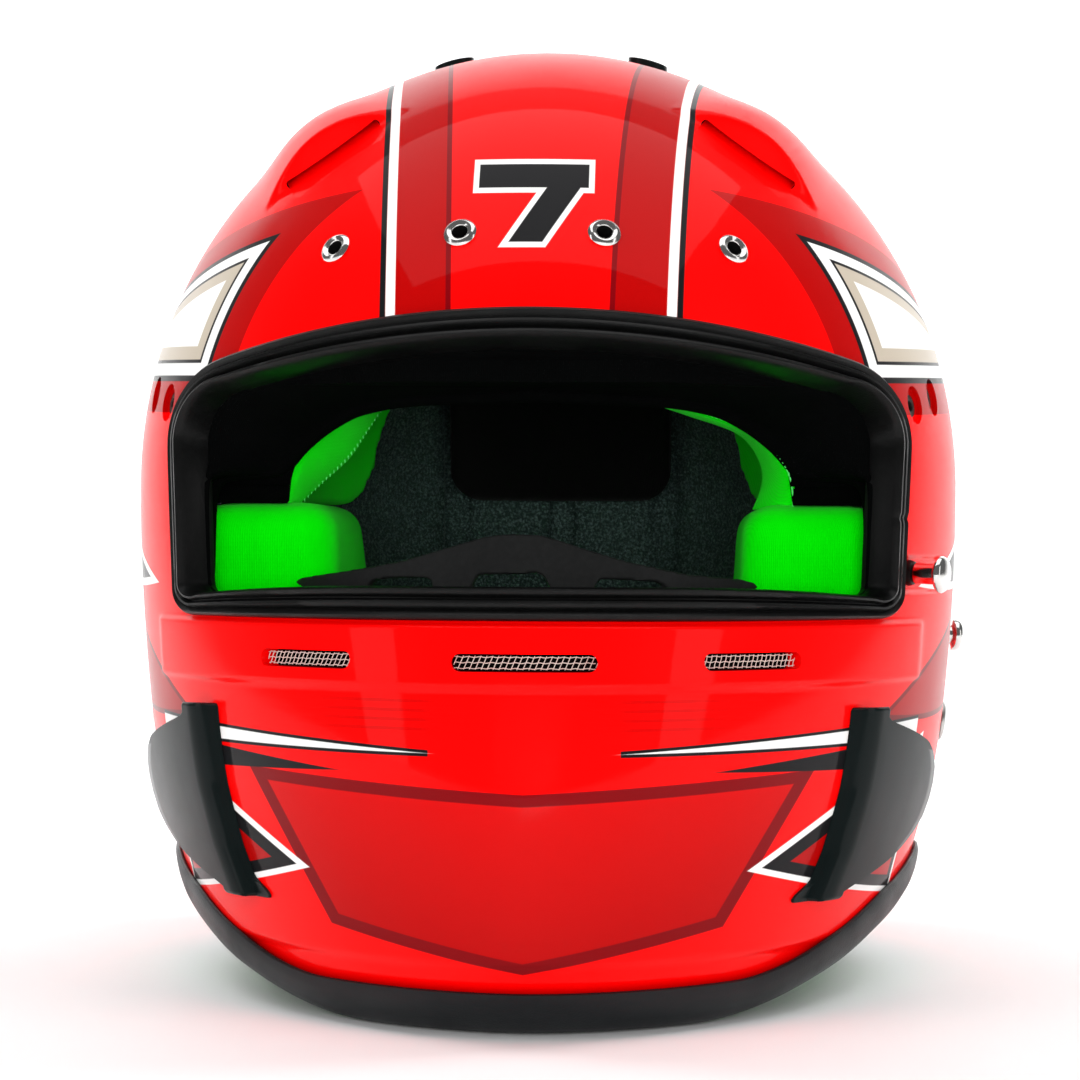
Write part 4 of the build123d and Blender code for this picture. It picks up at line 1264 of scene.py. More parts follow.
@dataclass
class OuterShell:
    """The painted shell: a dense skin with its raised band, scoop hoods and openings."""

    columns_front: int = 216
    columns_rear: int = 104
    band_proud: float = 0.0015
    band_low: float = 0.0905
    band_high: float = 0.107
    band_rear: float = -0.062
    crease: float = 0.02
    crease_depth: float = 0.0012
    hood_height: float = 0.0066
    hood_half: float = 0.026
    hood_length: float = 0.062
    scoop_x: float = 0.059
    scoop_y: float = -0.079
    scoop_turn: float = -35.0
    inlet_width: float = 0.032
    inlet_height: float = 0.0019
    inlet_lift: float = 0.0007
    inlet_sag: float = 0.0012
    vent_height: float = 0.0977
    vent_slot: float = 0.0047
    pocket_depth: float = 0.0015

    def rows(self) -> Array:
        """Heights of the skin's rows, closer together where the form changes fast.

        Returns:
            Rising heights.
        """
        zones = ((-0.006, 0.014, 0.0026), (0.014, 0.025, 0.0009), (0.025, 0.087, 0.0026),
                 (0.087, 0.0945, 0.0006), (0.0945, 0.104, 0.0024), (0.104, 0.1095, 0.0006),
                 (0.1095, 0.1295, 0.0012), (0.1295, FORM.widest, 0.0026))
        low = np.concatenate([np.arange(a, b - 1e-6, step) for a, b, step in zones])
        turns = np.radians(np.concatenate([np.arange(0, 33, 1.0), np.arange(33, 58, 0.6),
                                           np.arange(58, 89.6, 0.95)]))
        return np.concatenate([low, FORM.widest + FORM.rise * np.sin(turns)])

    def scoop_spot(self, side: Side) -> Spot:
        """The spot of one inlet: across along the slit, along rearwards.

        Args:
            side: Which side.

        Returns:
            The spot.
        """
        start = np.array([self.scoop_x * side.value, self.scoop_y, FORM.widest])
        point = FORM.reach_along(start, np.array([0.0, 0.0, 1.0]))
        turn = math.radians(self.scoop_turn)
        spot = Spot.at(point, np.array([math.cos(turn) * side.value, 0.0, math.sin(turn)]))
        if spot.along[1] < 0:
            flip = tuple(-v for v in spot.across)
            spot = Spot(spot.origin, flip, tuple(-v for v in spot.along), spot.out)
        return spot

    def lift(self, points: Array) -> Array:
        """How far each skin point stands out from the plain form.

        Args:
            points: Points on the plain form.

        Returns:
            The lift in metres.
        """
        x, y, z = points[..., 0], points[..., 1], points[..., 2]
        rise = smooth_step(z, self.band_low - 0.0008, self.band_low + 0.0014)
        fall = smooth_step(z, self.band_high - 0.0006, self.band_high + 0.0012)
        ends = smooth_step(-y, -self.band_rear, -self.band_rear + 0.007)
        lift = self.band_proud * rise * (1 - fall) * ends
        tuck = 1 - smooth_step(z, self.crease - 0.003, self.crease + 0.0005)
        lift = lift - self.crease_depth * tuck * smooth_step(-y, 0.03, 0.1)
        along = smooth_step(y, -0.098, -0.094) * (1 - smooth_step(y, -0.048, -0.043))
        level = smooth_step(z, 0.1145, 0.1165) * (1 - smooth_step(z, 0.1245, 0.1265))
        lift = lift - self.pocket_depth * along * level * (x > 0)
        for side in Side:
            spot = self.scoop_spot(side)
            local = spot.local(points)
            s, t = local[..., 0], local[..., 1]
            bell = np.clip(1 - (s / self.hood_half) ** 2, 0, None) ** 1.5
            front = smooth_step(t, -0.0004, 0.004)
            fade = 1 - smooth_step(t, 0.012, self.hood_length)
            near = (np.abs(local[..., 2]) < 0.04) & (t > -0.01)
            lift = lift + self.hood_height * bell * front * fade * near
        return lift

    def sharp_zone(self, points: Array) -> Array:
        """Where the skin bends sharply: at the hoods' front edges and round the pocket.

        Args:
            points: Points on the plain form.

        Returns:
            True at the points in those places.
        """
        x, y, z = points[:, 0], points[:, 1], points[:, 2]
        near = (x > 0) & (np.abs(y + 0.0705) < 0.031) & (np.abs(z - 0.1205) < 0.0095)
        for side in Side:
            spot = self.scoop_spot(side)
            local = spot.local(points)
            near |= ((np.abs(local[:, 0]) < 0.029) & (np.abs(local[:, 1] - 0.002) < 0.007)
                     & (local[:, 2] > -0.03))
        return near

    def refine(self, item: Item) -> None:
        """Splits the skin's faces where it bends sharply, and lifts its raised parts.

        Args:
            item: The plain skin.
        """
        work = bmesh.new()
        work.from_mesh(item.data)
        centres = np.array([face.calc_center_median()[:] for face in work.faces])
        sharp = self.sharp_zone(centres)
        edges = {edge for face, near in zip(work.faces, sharp) if near for edge in face.edges}
        bmesh.ops.subdivide_edges(work, edges=list(edges), cuts=3, use_grid_fill=True)
        work.to_mesh(item.data)
        work.free()
        points = points_of(item)
        step = 1e-5
        near = self.sharp_zone(points)
        for _ in range(2):
            spots = points[near]
            out = FORM.normal(spots)
            gap = FORM.level(spots) - 1.0
            slope = (FORM.level(spots + out * step) - 1.0 - gap) / step
            points[near] = spots - out * (gap / slope)[:, None]
        move_points(item, points + FORM.normal(points) * self.lift(points)[:, None])

    def skin(self) -> Item:
        """The closed skin and its inner wall, before any opening.

        Returns:
            The skin.
        """
        front = np.linspace(-math.pi, 0, self.columns_front, endpoint=False)
        rear = np.linspace(0, math.pi, self.columns_rear, endpoint=False)
        turn = np.concatenate([front, rear])
        grid = FORM.around(turn[None, :], self.rows()[:, None])
        outer = self.closed("skin_outer", grid, np.array([0, 0, FORM.widest + FORM.rise]))
        self.refine(outer)
        coarse = np.linspace(-math.pi, math.pi, 96, endpoint=False)
        inner_turns = np.radians(np.linspace(0, 86, 26))
        levels = np.concatenate([np.linspace(-0.0055, FORM.widest, 30)[:-1],
                                 FORM.widest + (FORM.rise - FORM.wall) * np.sin(inner_turns)])
        inside = FORM.around(coarse[None, :], levels[:, None], -FORM.wall)
        inner = self.closed("skin_inner", inside, np.array([0, 0, FORM.widest + FORM.rise - FORM.wall]))
        return cut(outer, [inner])

    def closed(self, name: str, grid: Array, top: Array) -> Item:
        """A closed dome over a grid, with a level foot and a point at the top.

        Args:
            name: The object's name.
            grid: Rows from the foot to the crown.
            top: The point at the top.

        Returns:
            The dome.
        """
        rows, columns = grid.shape[:2]
        foot = grid[0].mean(axis=0)
        points = np.concatenate([grid.reshape(-1, 3), [top, foot]])
        last, peak = (rows - 1) * columns, rows * columns
        faces = grid_faces(rows, columns, True, False)
        faces += [(last + c, last + (c + 1) % columns, peak) for c in range(columns)]
        faces += [((c + 1) % columns, c, peak + 1) for c in range(columns)]
        return new_piece(name, points, faces)

    def base_tool(self) -> Item:
        """The tool that cuts the base edge.

        Returns:
            The closed tool.
        """
        seat = 0.003
        y = np.linspace(-FORM.front_reach - OVERRUN, FORM.rear_reach + OVERRUN, 90)
        edge = np.column_stack([y, FORM.arch(y) + seat])
        under = np.column_stack([y[::-1][[0, -1]], [-OVERRUN, -OVERRUN]])
        spot = Spot((0, 0, 0), (0, 1, 0), UP, (1, 0, 0))
        wide = FORM.half_width + OVERRUN
        return prism("base_tool", np.vstack([edge, under]), -wide, wide, spot)

    def port_tool(self) -> Item:
        """The tool that cuts the eyeport."""
        spot = Spot((0, 0, 0), (1, 0, 0), UP, (0, -1, 0))
        return prism("port_tool", PORT.drawn_in(0.005), OVERRUN, FORM.front_reach + OVERRUN, spot)

    def vent_spots(self) -> dict[str, tuple[Spot, float]]:
        """The level spots of the three chin vents, with their lengths.

        Returns:
            Each vent's spot and length.
        """
        result = {}
        for name, x, length in (("centre", 0.0, 0.038), ("left", 0.0595, 0.034), ("right", -0.0595, 0.034)):
            spot = Spot.on_front(x, self.vent_height)
            out = np.array([spot.out[0], spot.out[1], 0.0])
            out = out / np.linalg.norm(out)
            side = np.array([-out[1], out[0], 0.0])
            result[name] = (Spot(spot.origin, tuple(side), UP, tuple(out)), length)
        return result

    @staticmethod
    def slot_outline(length: float, width: float, count: int = 14) -> Array:
        """A round-ended slot.

        Args:
            length: Its whole length.
            width: Its width.
            count: How many points each end has.

        Returns:
            Flat points in order.
        """
        half, radius = (length - width) / 2, width / 2
        right = arc((half, 0.0), radius, -math.pi / 2, math.pi / 2, count)
        return np.array([*right, *arc((-half, 0.0), radius, math.pi / 2, 1.5 * math.pi, count)])

    def round_tools(self) -> list[Item]:
        """The tools for eyelets, inserts and the lock post.

        Returns:
            The closed tools.
        """
        tools = []
        for spot in Hardware.eyelet_spots():
            tools.append(prism("eyelet_tool", self.slot_outline(0.00601, 0.006), -0.012, 0.01, spot))
        for spot in Hardware.pivot_spots():
            tools.append(prism("recess_tool", self.slot_outline(0.01101, 0.011, 20), -0.0015, 0.01, spot))
            tools.append(prism("insert_tool", self.slot_outline(0.00641, 0.0064), -0.012, 0.005, spot))
        return tools

    def inlet_tool(self, side: Side) -> Item:
        """The tool for one slit under a hood.

        Args:
            side: Which side.

        Returns:
            The closed tool.
        """
        spot = self.scoop_spot(side)
        face = Spot(spot.origin, spot.across, spot.out, tuple(-v for v in spot.along))
        outline = self.slot_outline(self.inlet_width, self.inlet_height)
        outline = outline + np.array([0.0, self.inlet_lift + self.inlet_height / 2 - 0.0008])
        curve = self.inlet_sag * (outline[:, 0] / (self.inlet_width / 2)) ** 2
        outline[:, 1] = outline[:, 1] - curve
        return prism("inlet_tool", outline, -0.014, 0.01, face)

    def build(self) -> None:
        """Makes and dresses the shell."""
        shell = self.skin()
        tools = [self.base_tool(), self.port_tool(), *self.round_tools()]
        tools += [self.inlet_tool(side) for side in Side]
        for spot, length in self.vent_spots().values():
            tools.append(prism("vent_tool", self.slot_outline(length, self.vent_slot), -0.02, 0.02, spot))
        cut(shell, tools)
        shell.name = "shell_painted"
        tidy(shell, 42.0, 1e-7)
        dress(shell, PAINT, ["outer_shell"])
        # The deep faces get the near-black inside; in the slits under the hoods this is painted shade.
        line_inside(shell, SHELL_INSIDE_AND_SHADE, self.slit_depth)

    def slit_depth(self, points: Array) -> Array:
        """How deep the paint reaches before the near-black inside: in the low part of the slits under the
        hoods it reaches nowhere, so painted shade fills them.

        Args:
            points: Places on the shell.

        Returns:
            Depths under the plain form.
        """
        depth = np.full(len(points), 0.0023)
        for side in Side:
            spot = self.scoop_spot(side)
            local = spot.local(points)
            sag = self.inlet_sag * (local[:, 0] / (self.inlet_width / 2)) ** 2
            low = local[:, 2] + sag < self.inlet_height + 0.0002
            low &= np.abs(local[:, 0]) < self.inlet_width / 2
            # Painted shade: the slit's low inside faces all get the near-black finish.
            depth[low & (local[:, 1] > 0.0022) & (local[:, 1] < 0.0145)] = -0.01
        return depth


@dataclass
class EyeportSeal:
    """The ribbed rubber seal round the eyeport."""

    joint_height: float = 0.1365
    joint_depth: float = 0.0005
    profile: Pairs = (
        (0, 0.1), (-0.3, 1), (0.1, 2.1), (0.9, 2.6), (1.8, 2.2), (2.3, 1.3), (2.6, 1.2), (3, 2), (3.8, 2.9),
        (4.7, 2.9), (5.3, 2.1), (5.6, 1.3), (5.9, 1.3), (6.3, 2.4), (7, 3.4), (7.8, 3.5), (8.5, 2.6),
        (8.9, 1), (9, -2), (9, -6.8), (8.4, -7.9), (0.6, -8), (0, -7.4), (0, -4.2), (4.9, -4.1), (4.9, 0.1),
    )

    def build(self) -> None:
        """Sweeps the profile round the eyeport."""
        columns = []
        for inset, rise in np.array(self.profile) * MM:
            flat = PORT.drawn_in(inset)
            place = np.column_stack([flat[:, 0], FORM.front_y(flat[:, 0], flat[:, 1]), flat[:, 1]])
            joint = (flat[:, 0] > 0.09) * np.exp(-(((flat[:, 1] - self.joint_height) / 0.0009) ** 2))
            lift = rise - self.joint_depth * joint * (rise > 0.0005)
            columns.append(place + FORM.normal(place) * lift[:, None])
        seal = grid_piece("seal_ribbed", np.stack(columns, axis=1), True, True, smooth=50.0)
        dress(seal, SEAL_RUBBER, ["eyeport_seal"])


@dataclass
class BaseTrim:
    """The half-round rubber edging of the base."""

    count: int = 260
    profile: Pairs = (
        (3, -4.1), (3, 0.1), (11.7, 0.1), (12, 0.8), (11.6, 1.6), (10.2, 2.3), (8, 2.6), (5.8, 2.7),
        (3.6, 2.5), (1.6, 1.8), (0.3, 0.6), (0, -1.4), (0, -3.6), (0.6, -5.4), (2, -6.4), (9.8, -6.5),
        (11.4, -5.8), (12, -4.5), (11.7, -4.1),
    )

    def build(self) -> None:
        """Sweeps the profile round the base edge."""
        turn = np.linspace(-math.pi, math.pi, self.count, endpoint=False)
        columns = []
        for rise, grow in np.array(self.profile) * MM:
            y = FORM.around(turn, np.full(turn.shape, 0.01))[:, 1]
            for _ in range(6):
                level = FORM.arch(y) + rise
                point = FORM.around(turn, level, grow)
                y = point[:, 1]
            columns.append(np.column_stack([point[:, 0], point[:, 1], FORM.arch(point[:, 1]) + rise]))
        trim = grid_piece("edging", np.stack(columns, axis=1), True, True, smooth=40.0)
        dress(trim, EDGE_RUBBER, ["base_trim"])


@dataclass
class Winglet:
    """One gloss winglet: a plate held off the chin bar by its rounded front bar."""

    gap: float = 0.005
    wall: float = 0.0025
    bar: float = 0.0045
    low: float = 0.0315
    high: float = 0.084
    flange: float = 0.0045
    bend: float = 0.0048
    front_points: Pairs = (
        (31.5, -111.5), (45, -107), (62, -104.5), (84, -103.5),
    )
    rear_points: Pairs = (
        (31.5, -106.5), (33.5, -102.5), (37, -90.5), (40, -80.5), (43, -73), (47, -65.5), (51, -60.5),
        (56, -58.3), (60.5, -58), (65, -59.3), (69.5, -63), (73, -68.5), (75.5, -76.5), (77.5, -84),
        (79.7, -92.5), (81.5, -96.5), (84, -99),
    )

    def section(self, front: float, rear: float, squeeze: float, foot: float) -> list[tuple[float, float]]:
        """The closed level section, as (y, distance out from the shell).

        Args:
            front: The Y of the front edge.
            rear: The Y of the rear edge.
            squeeze: How far every face is drawn in, for rounded ends.
            foot: How far the foot's flange reaches forward.

        Returns:
            The section's points.
        """
        out, bar, gap, runs = self.gap + self.wall, front + self.bar, self.gap, 9
        turns = np.linspace(0, math.pi / 2, runs)
        bend = [(front + self.bend * (1 - math.sin(a)), out - self.bend * (1 - math.cos(a))) for a in turns]
        plan = [*bend, (front, 0.0016), (front - foot, 0.0011), (front - foot, 0.0002), (bar, 0.0002),
                (bar, gap - 0.0025), (bar + 0.0006, gap - 0.001), (bar + 0.0022, gap)]
        first, last = bar + 0.0022, max(rear - 0.001, bar + 0.0032)
        inner = [(first + (last - first) * k / runs, gap) for k in range(1, runs + 1)]
        middle = gap + self.wall / 2
        tip = [(last + 0.0008, gap + 0.0006), (last + 0.001, middle), (last + 0.0008, out - 0.0006)]
        outer = [(last + (front + self.bend - last) * k / runs, out) for k in range(runs)]
        drawn = []
        for y, d in (*plan, *inner, *tip, *outer):
            inside = front + self.bar / 2 if y < bar + 0.0001 and d < gap - 0.001 else y
            level = middle if y > bar or d > gap - 0.001 else d
            drawn.append((y + np.clip(inside - y, -squeeze, squeeze),
                          d + np.clip(level - d, -squeeze, squeeze)))
        return drawn

    def build(self, side: Side) -> None:
        """Makes one winglet.

        Args:
            side: Which side.
        """
        edge = 0.0009
        steps = [0.0, edge * 0.3, edge]
        heights = np.concatenate([self.low + np.array(steps), np.linspace(self.low, self.high, 56)[1:-1],
                                  self.high - np.array(steps[::-1])])
        squeezes = [edge, edge * 0.45, 0.0, *([0.0] * 54), 0.0, edge * 0.45, edge]
        front = np.array(self.front_points) * MM
        rear = np.array(self.rear_points) * MM
        rows = []
        for height, squeeze in sorted(zip(heights, squeezes)):
            y_front = float(np.interp(height, front[:, 0], front[:, 1]))
            y_rear = float(np.interp(height, rear[:, 0], rear[:, 1]))
            foot = self.flange * float(1 - smooth_step(np.array(height), self.low + 0.001, self.low + 0.006))
            row = []
            for y, out in self.section(y_front, y_rear, squeeze, foot + 0.0002):
                x = float(FORM.side_x(np.array(y), np.array(height)))
                spot = FORM.normal(np.array([x, y, height]))
                place = np.array([x, y, height]) + np.array([spot[0], spot[1] * 0.25, 0.0]) * out
                row.append((place[0] * side.value, place[1], height))
            rows.append(row)
        item = grid_piece(f"winglet_gloss_{side.word}", np.array(rows), True, False, caps=True, smooth=55.0)
        dress(item, GLOSS_BLACK, [f"winglet_{side.word}"])


@dataclass
class Hardware:
    """Eyelets, shield inserts, the lock post, tether posts and strap rivets."""

    segments: int = 48

    @staticmethod
    def eyelet_spots() -> list[Spot]:
        """The spots of the four brow eyelets."""
        places = ((0.0194, 0.2122), (0.0543, 0.2092))
        return [Spot.on_front(side.value * x, z) for side in Side for x, z in places]

    @staticmethod
    def pivot_spots() -> list[Spot]:
        """The spots of the four shield inserts."""
        places = ((-0.07, 0.169), (-0.053, 0.172))
        return [Spot.on_side(y, z, side) for side in Side for y, z in places]

    def turned(self, name: str, profile: Sequence[tuple[float, float]], spots: Sequence[Spot]) -> Item:
        """Turned pieces on spots, made once and set by a node tree.

        Args:
            name: The piece's name.
            profile: Points of (radius, height along the normal), in millimetres.
            spots: Where the pieces stand.

        Returns:
            One object with every piece.
        """
        turn = np.linspace(0, 2 * math.pi, self.segments, endpoint=False)
        radius, height = (np.array(profile) * MM).T[:, :, None] + 0 * turn
        grid = np.stack([radius * np.cos(turn), radius * np.sin(turn), height], axis=-1)
        closed = profile[0][0] > 0
        one = grid_piece(f"{name}_one", grid, True, closed, smooth=38.0)
        item = SetOnPoints().build(name, one, spots)
        bpy.data.objects.remove(one)
        tidy(item, 38.0)
        return item

    def build(self) -> None:
        """Makes and dresses every turned piece."""
        wall = FORM.wall / MM
        rim, hole = 4.5, 2.1
        eyelet = [(hole, 0.6), (hole, -wall - 1.1), (rim, -wall - 1.1), (rim, -wall - 0.2), (3, -wall - 0.1),
                  (3, 0.1), (rim, 0.1), (rim + 0.05, 0.4), (rim - 0.4, 1), (rim - 1.1, 1.3), (hole + 0.8, 1.1),
                  (hole + 0.2, 0.9)]
        eyelets = self.turned("brow_eyelets", eyelet, self.eyelet_spots())
        dress(eyelets, CHROME, ["vent_eyelets"])
        # Painted shade: the eyelet bores below the shell's face get the near-black finish.
        line_inside(eyelets, SHELL_INSIDE_AND_SHADE, lambda points: np.full(len(points), 0.0002))
        insert = [(1.65, -1.6), (1.55, -2.1), (1.65, -2.4), (1.55, -2.7), (1.65, -3), (1.65, -wall - 1.5),
                  (6, -wall - 1.5), (6, -wall - 0.3), (3.2, -wall - 0.3), (3.2, -1.6), (3, -1.5), (1.9, -1.5)]
        dress(self.turned("shield_inserts", insert, self.pivot_spots()), INSERT,
              ["visor_pivot_inserts"])
        lock = [(0, -wall - 1.9), (2, -wall - 1.9), (2, 1), (2.6, 1), (2.95, 1.3), (2.95, 7.1), (2.5, 7.5),
                (2.7, 7.8), (4.6, 7.9), (5.2, 8.4), (5.25, 9.2), (4.8, 10), (3.8, 10.5), (0, 10.7)]
        spot = [Spot.on_side(-0.074, 0.121, Side.LEFT)]
        dress(self.turned("lock_post", lock, spot), CHROME, ["visor_lock_post"])
        collar = [(2.1, -1.2), (3.6, -1.2), (3.7, -0.8), (3.3, 0.6), (2.4, 0.9), (2.1, 0.9)]
        dress(self.turned("lock_collar", collar, spot), SEAL_RUBBER)
        tether = [(0, -wall - 1.9), (2.5, -wall - 1.9), (2.5, 0.1), (5, 0.1), (5, 1.2), (4.6, 1.6), (3.1, 1.7),
                  (3, 2), (3, 9.3), (3.4, 9.6), (5, 9.8), (5.25, 10.3), (5.25, 11.5), (4.8, 12.2), (3.6, 12.5),
                  (2.2, 12.5), (2.1, 11.2), (0, 11.2)]
        for side in Side:
            item = self.turned(f"tether_post_{side.word}", tether, [Spot.on_side(0.045, 0.101, side)])
            dress(item, CHROME, [f"anchor_post_{side.word}"])
        rivet = [(0, -8.3), (4.4, -8.3), (4.4, -7.5), (2.5, -7.4), (2.5, 0.1), (6, 0.1), (6, 0.4), (5.5, 1),
                 (4, 1.5), (0, 1.7)]
        spots = [Spot.on_side(0.0, 0.075, side) for side in Side]
        dress(self.turned("strap_rivet_pair", rivet, spots), STEEL, ["strap_rivets"])


class NodeTool:
    """A geometry node tree with named inputs, made once for each kind."""

    NAME = ""
    INPUTS: dict[str, str] = {}

    def shape(self, write: Nodes, read: Sequence[Socket]) -> Socket:
        """The tree's own part: its last geometry."""
        raise NotImplementedError

    def tree(self) -> Tree:
        """The tree, which ends in real faces with the finish.

        Returns:
            The tree.
        """
        known = bpy.data.node_groups.get(self.NAME)
        if known:
            return known
        tree = bpy.data.node_groups.new(self.NAME, "GeometryNodeTree")
        for key, kind in {"Geometry": "Geometry", **self.INPUTS, "Finish": "Material"}.items():
            tree.interface.new_socket(key, in_out="INPUT", socket_type=f"NodeSocket{kind}")
        tree.interface.new_socket("Geometry", in_out="OUTPUT", socket_type="NodeSocketGeometry")
        write = Nodes(tree)
        start, end = write.add("NodeGroupInput"), write.add("NodeGroupOutput")
        real = write.make("GeometryNodeRealizeInstances", Geometry=self.shape(write, start.outputs))
        coat = write.make("GeometryNodeSetMaterial", Geometry=real.outputs[0],
                          Material=start.outputs["Finish"])
        write.give(end, Geometry=coat.outputs[0])
        return tree

    def run(self, name: str, data: bpy.types.ID, **values: object) -> Item:
        """Runs the tree on a mesh or a curve.

        Args:
            name: The result's name.
            data: The mesh or the curve.
            **values: The tree's inputs by name.

        Returns:
            One plain mesh object.
        """
        item = link(name, data)
        change = item.modifiers.new(self.NAME, "NODES")
        change.node_group = self.tree()
        for socket in change.node_group.interface.items_tree:
            if socket.in_out == "INPUT" and socket.name in values:
                change[socket.identifier] = values[socket.name]
        mesh = final_mesh(item)
        bpy.data.objects.remove(item)
        return link(name, mesh)


class SetOnPoints(NodeTool):
    """Sets copies of a piece on points, turned to their normals."""

    NAME = "set_on_points"
    INPUTS = {"Piece": "Object", "Size": "Float"}

    def shape(self, write: Nodes, read: Sequence[Socket]) -> Socket:
        """The copies on the points.

        Args:
            write: The node writer.
            read: The tree's inputs by name.

        Returns:
            The last geometry.
        """
        piece = write.make("GeometryNodeObjectInfo", Object=read["Piece"])
        turn = write.add("GeometryNodeInputNamedAttribute", data_type="FLOAT_VECTOR")
        write.give(turn, Name="turn")
        return write.make("GeometryNodeInstanceOnPoints", Points=read["Geometry"], Scale=read["Size"],
                          Instance=piece.outputs["Geometry"], Rotation=turn.outputs["Attribute"]).outputs[0]

    def build(self, name: str, piece: Item, spots: Sequence[Spot]) -> Item:
        """Sets the piece on every spot.

        Args:
            name: The result's name.
            piece: The piece to copy.
            spots: The spots.

        Returns:
            One plain mesh object.
        """
        mesh = bpy.data.meshes.new(name)
        mesh.from_pydata([spot.origin for spot in spots], [], [])
        turns = mesh.attributes.new("turn", "FLOAT_VECTOR", "POINT")
        for value, spot in zip(turns.data, spots):
            value.vector = Matrix((spot.across, spot.along, spot.out)).transposed().to_euler()
        return self.run(name, mesh, Piece=piece, Size=1.0)


class StitchRun(NodeTool):
    """Lays thread stitches along a route."""

    NAME = "stitch_run"
    INPUTS = {"Spacing": "Float", "Length": "Float", "Thread": "Float", "Lean": "Float"}

    def shape(self, write: Nodes, read: Sequence[Socket]) -> Socket:
        """Drawn-out balls along the route.

        Args:
            write: The node writer.
            read: The tree's inputs by name.

        Returns:
            The last geometry.
        """
        points = write.add("GeometryNodeCurveToPoints", mode="LENGTH")
        write.give(points, Curve=read["Geometry"], Length=read["Spacing"])
        ball = write.make("GeometryNodeMeshIcoSphere", Radius=1.0, Subdivisions=2)
        size = write.make("ShaderNodeCombineXYZ", X=read["Thread"], Y=read["Thread"],
                          Z=write.times(read["Length"], 0.5))
        swing = write.make("ShaderNodeCombineXYZ", X=read["Lean"])
        lean = write.add("FunctionNodeRotateEuler", rotation_type="EULER", space="LOCAL")
        write.give(lean, Rotation=points.outputs["Rotation"], Rotate_By=swing.outputs[0])
        return write.make("GeometryNodeInstanceOnPoints", Points=points.outputs["Points"],
                          Scale=size.outputs[0], Instance=ball.outputs[0],
                          Rotation=lean.outputs[0]).outputs[0]

    def build(self, name: str, route: Sequence, spacing: float, length: float, thread: float,
              lean: float = 0.0) -> Item:
        """Lays stitches along a route.

        Args:
            name: The result's name.
            route: The points of the route.
            spacing: From stitch to stitch.
            length: Of one stitch.
            thread: The thread's radius.
            lean: How far each stitch turns from the route, in radians.

        Returns:
            One plain mesh object.
        """
        curve = bpy.data.curves.new(name, "CURVE")
        curve.dimensions = "3D"
        add_line(curve, route, False)
        item = self.run(name, curve, Spacing=spacing, Length=length, Thread=thread, Lean=lean)
        tidy(item, 60.0, 1e-7)
        return item


class WireWeave(NodeTool):
    """Turns a strip's wires into round ones."""

    NAME = "wire_weave"
    INPUTS = {"Wire": "Float"}

    def shape(self, write: Nodes, read: Sequence[Socket]) -> Socket:
        """Round wires along the edges.

        Args:
            write: The node writer.
            read: The tree's inputs by name.

        Returns:
            The last geometry.
        """
        curve = write.make("GeometryNodeMeshToCurve", Mesh=read["Geometry"])
        ring = write.make("GeometryNodeCurvePrimitiveCircle", Resolution=6, Radius=read["Wire"])
        return write.make("GeometryNodeCurveToMesh", Fill_Caps=True, Curve=curve.outputs[0],
                          Profile_Curve=ring.outputs[0]).outputs[0]

    def build(self, name: str, wires: Sequence[Array], radius: float) -> Item:
        """Makes round wires along routes.

        Args:
            name: The result's name.
            wires: The routes.
            radius: The wire's radius.

        Returns:
            One plain mesh object.
        """
        points, edges = [], []
        for wire in wires:
            first = len(points)
            points += [tuple(p) for p in wire]
            edges += [(first + k, first + k + 1) for k in range(len(wire) - 1)]
        mesh = bpy.data.meshes.new(name)
        mesh.from_pydata(points, edges, [])
        return self.run(name, mesh, Wire=radius)


@dataclass
class ChinVents:
    """The woven mesh behind the chin slots, and the dark plate behind it that paints shade into each slot."""

    depth: float = 0.0009
    pitch: float = 0.00155
    slant: float = 0.42
    wire: float = 0.00013
    margin: float = 0.00005
    filter_front: float = 0.0056
    filter_back: float = 0.0066

    def wires(self, length: float, width: float) -> list[Array]:
        """Flat routes of slanted wires and of wavy cross wires.

        Args:
            length: The slot's length.
            width: The slot's width.

        Returns:
            Routes as (across, up, out) points.
        """
        half, radius = length / 2, width / 2
        routes = []
        for start in np.arange(-half - radius, half + radius, self.pitch):
            up = np.linspace(-radius, radius, 9)
            across = start + up * self.slant
            weave = 0.00008 * np.sin(up / width * 4 * math.pi)
            routes.append(np.column_stack([across, up, weave]))
        for level in np.linspace(-radius * 0.62, radius * 0.62, 3):
            across = np.linspace(-half, half, 60)
            wave = level + 0.00012 * np.sin(across * 2 * math.pi / self.pitch / 2)
            weave = 0.0001 * np.cos(across * 2 * math.pi / self.pitch / 2)
            routes.append(np.column_stack([across, wave, weave]))
        kept = []
        for route in routes:
            over = np.clip(np.abs(route[:, 0]) - (half - radius), 0, None)
            inside = over**2 + route[:, 1] ** 2 < (radius - self.margin) ** 2
            if inside.sum() > 2:
                kept.append(route[inside])
        return kept

    def build(self, shell: OuterShell) -> None:
        """Makes the mesh of every vent.

        Args:
            shell: The shell with the slots.
        """
        for name, (spot, length) in shell.vent_spots().items():
            routes = []
            for flat in self.wires(length, shell.vent_slot):
                world = spot.place(np.column_stack([flat[:, 0], flat[:, 1], 0 * flat[:, 0]]))
                heading = np.broadcast_to(np.array(spot.out), world.shape)
                hits = FORM.reach_along(world - heading * 0.03, heading)
                routes.append(hits + heading * (flat[:, 2:3] - self.depth))
            item = WireWeave().build(f"vent_wires_{name}", routes, self.wire)
            tidy(item, 50.0, 1e-7)
            dress(item, WIRE, [f"vent_mesh_{name}"])
            # Painted shade: a near-black plate behind each slot's mesh.
            shape = shell.slot_outline(length + 0.002, shell.vent_slot + 0.002)
            dress(prism(f"vent_filter_{name}", shape, -self.filter_back, -self.filter_front, spot),
                  VENT_DARK_PLATE)


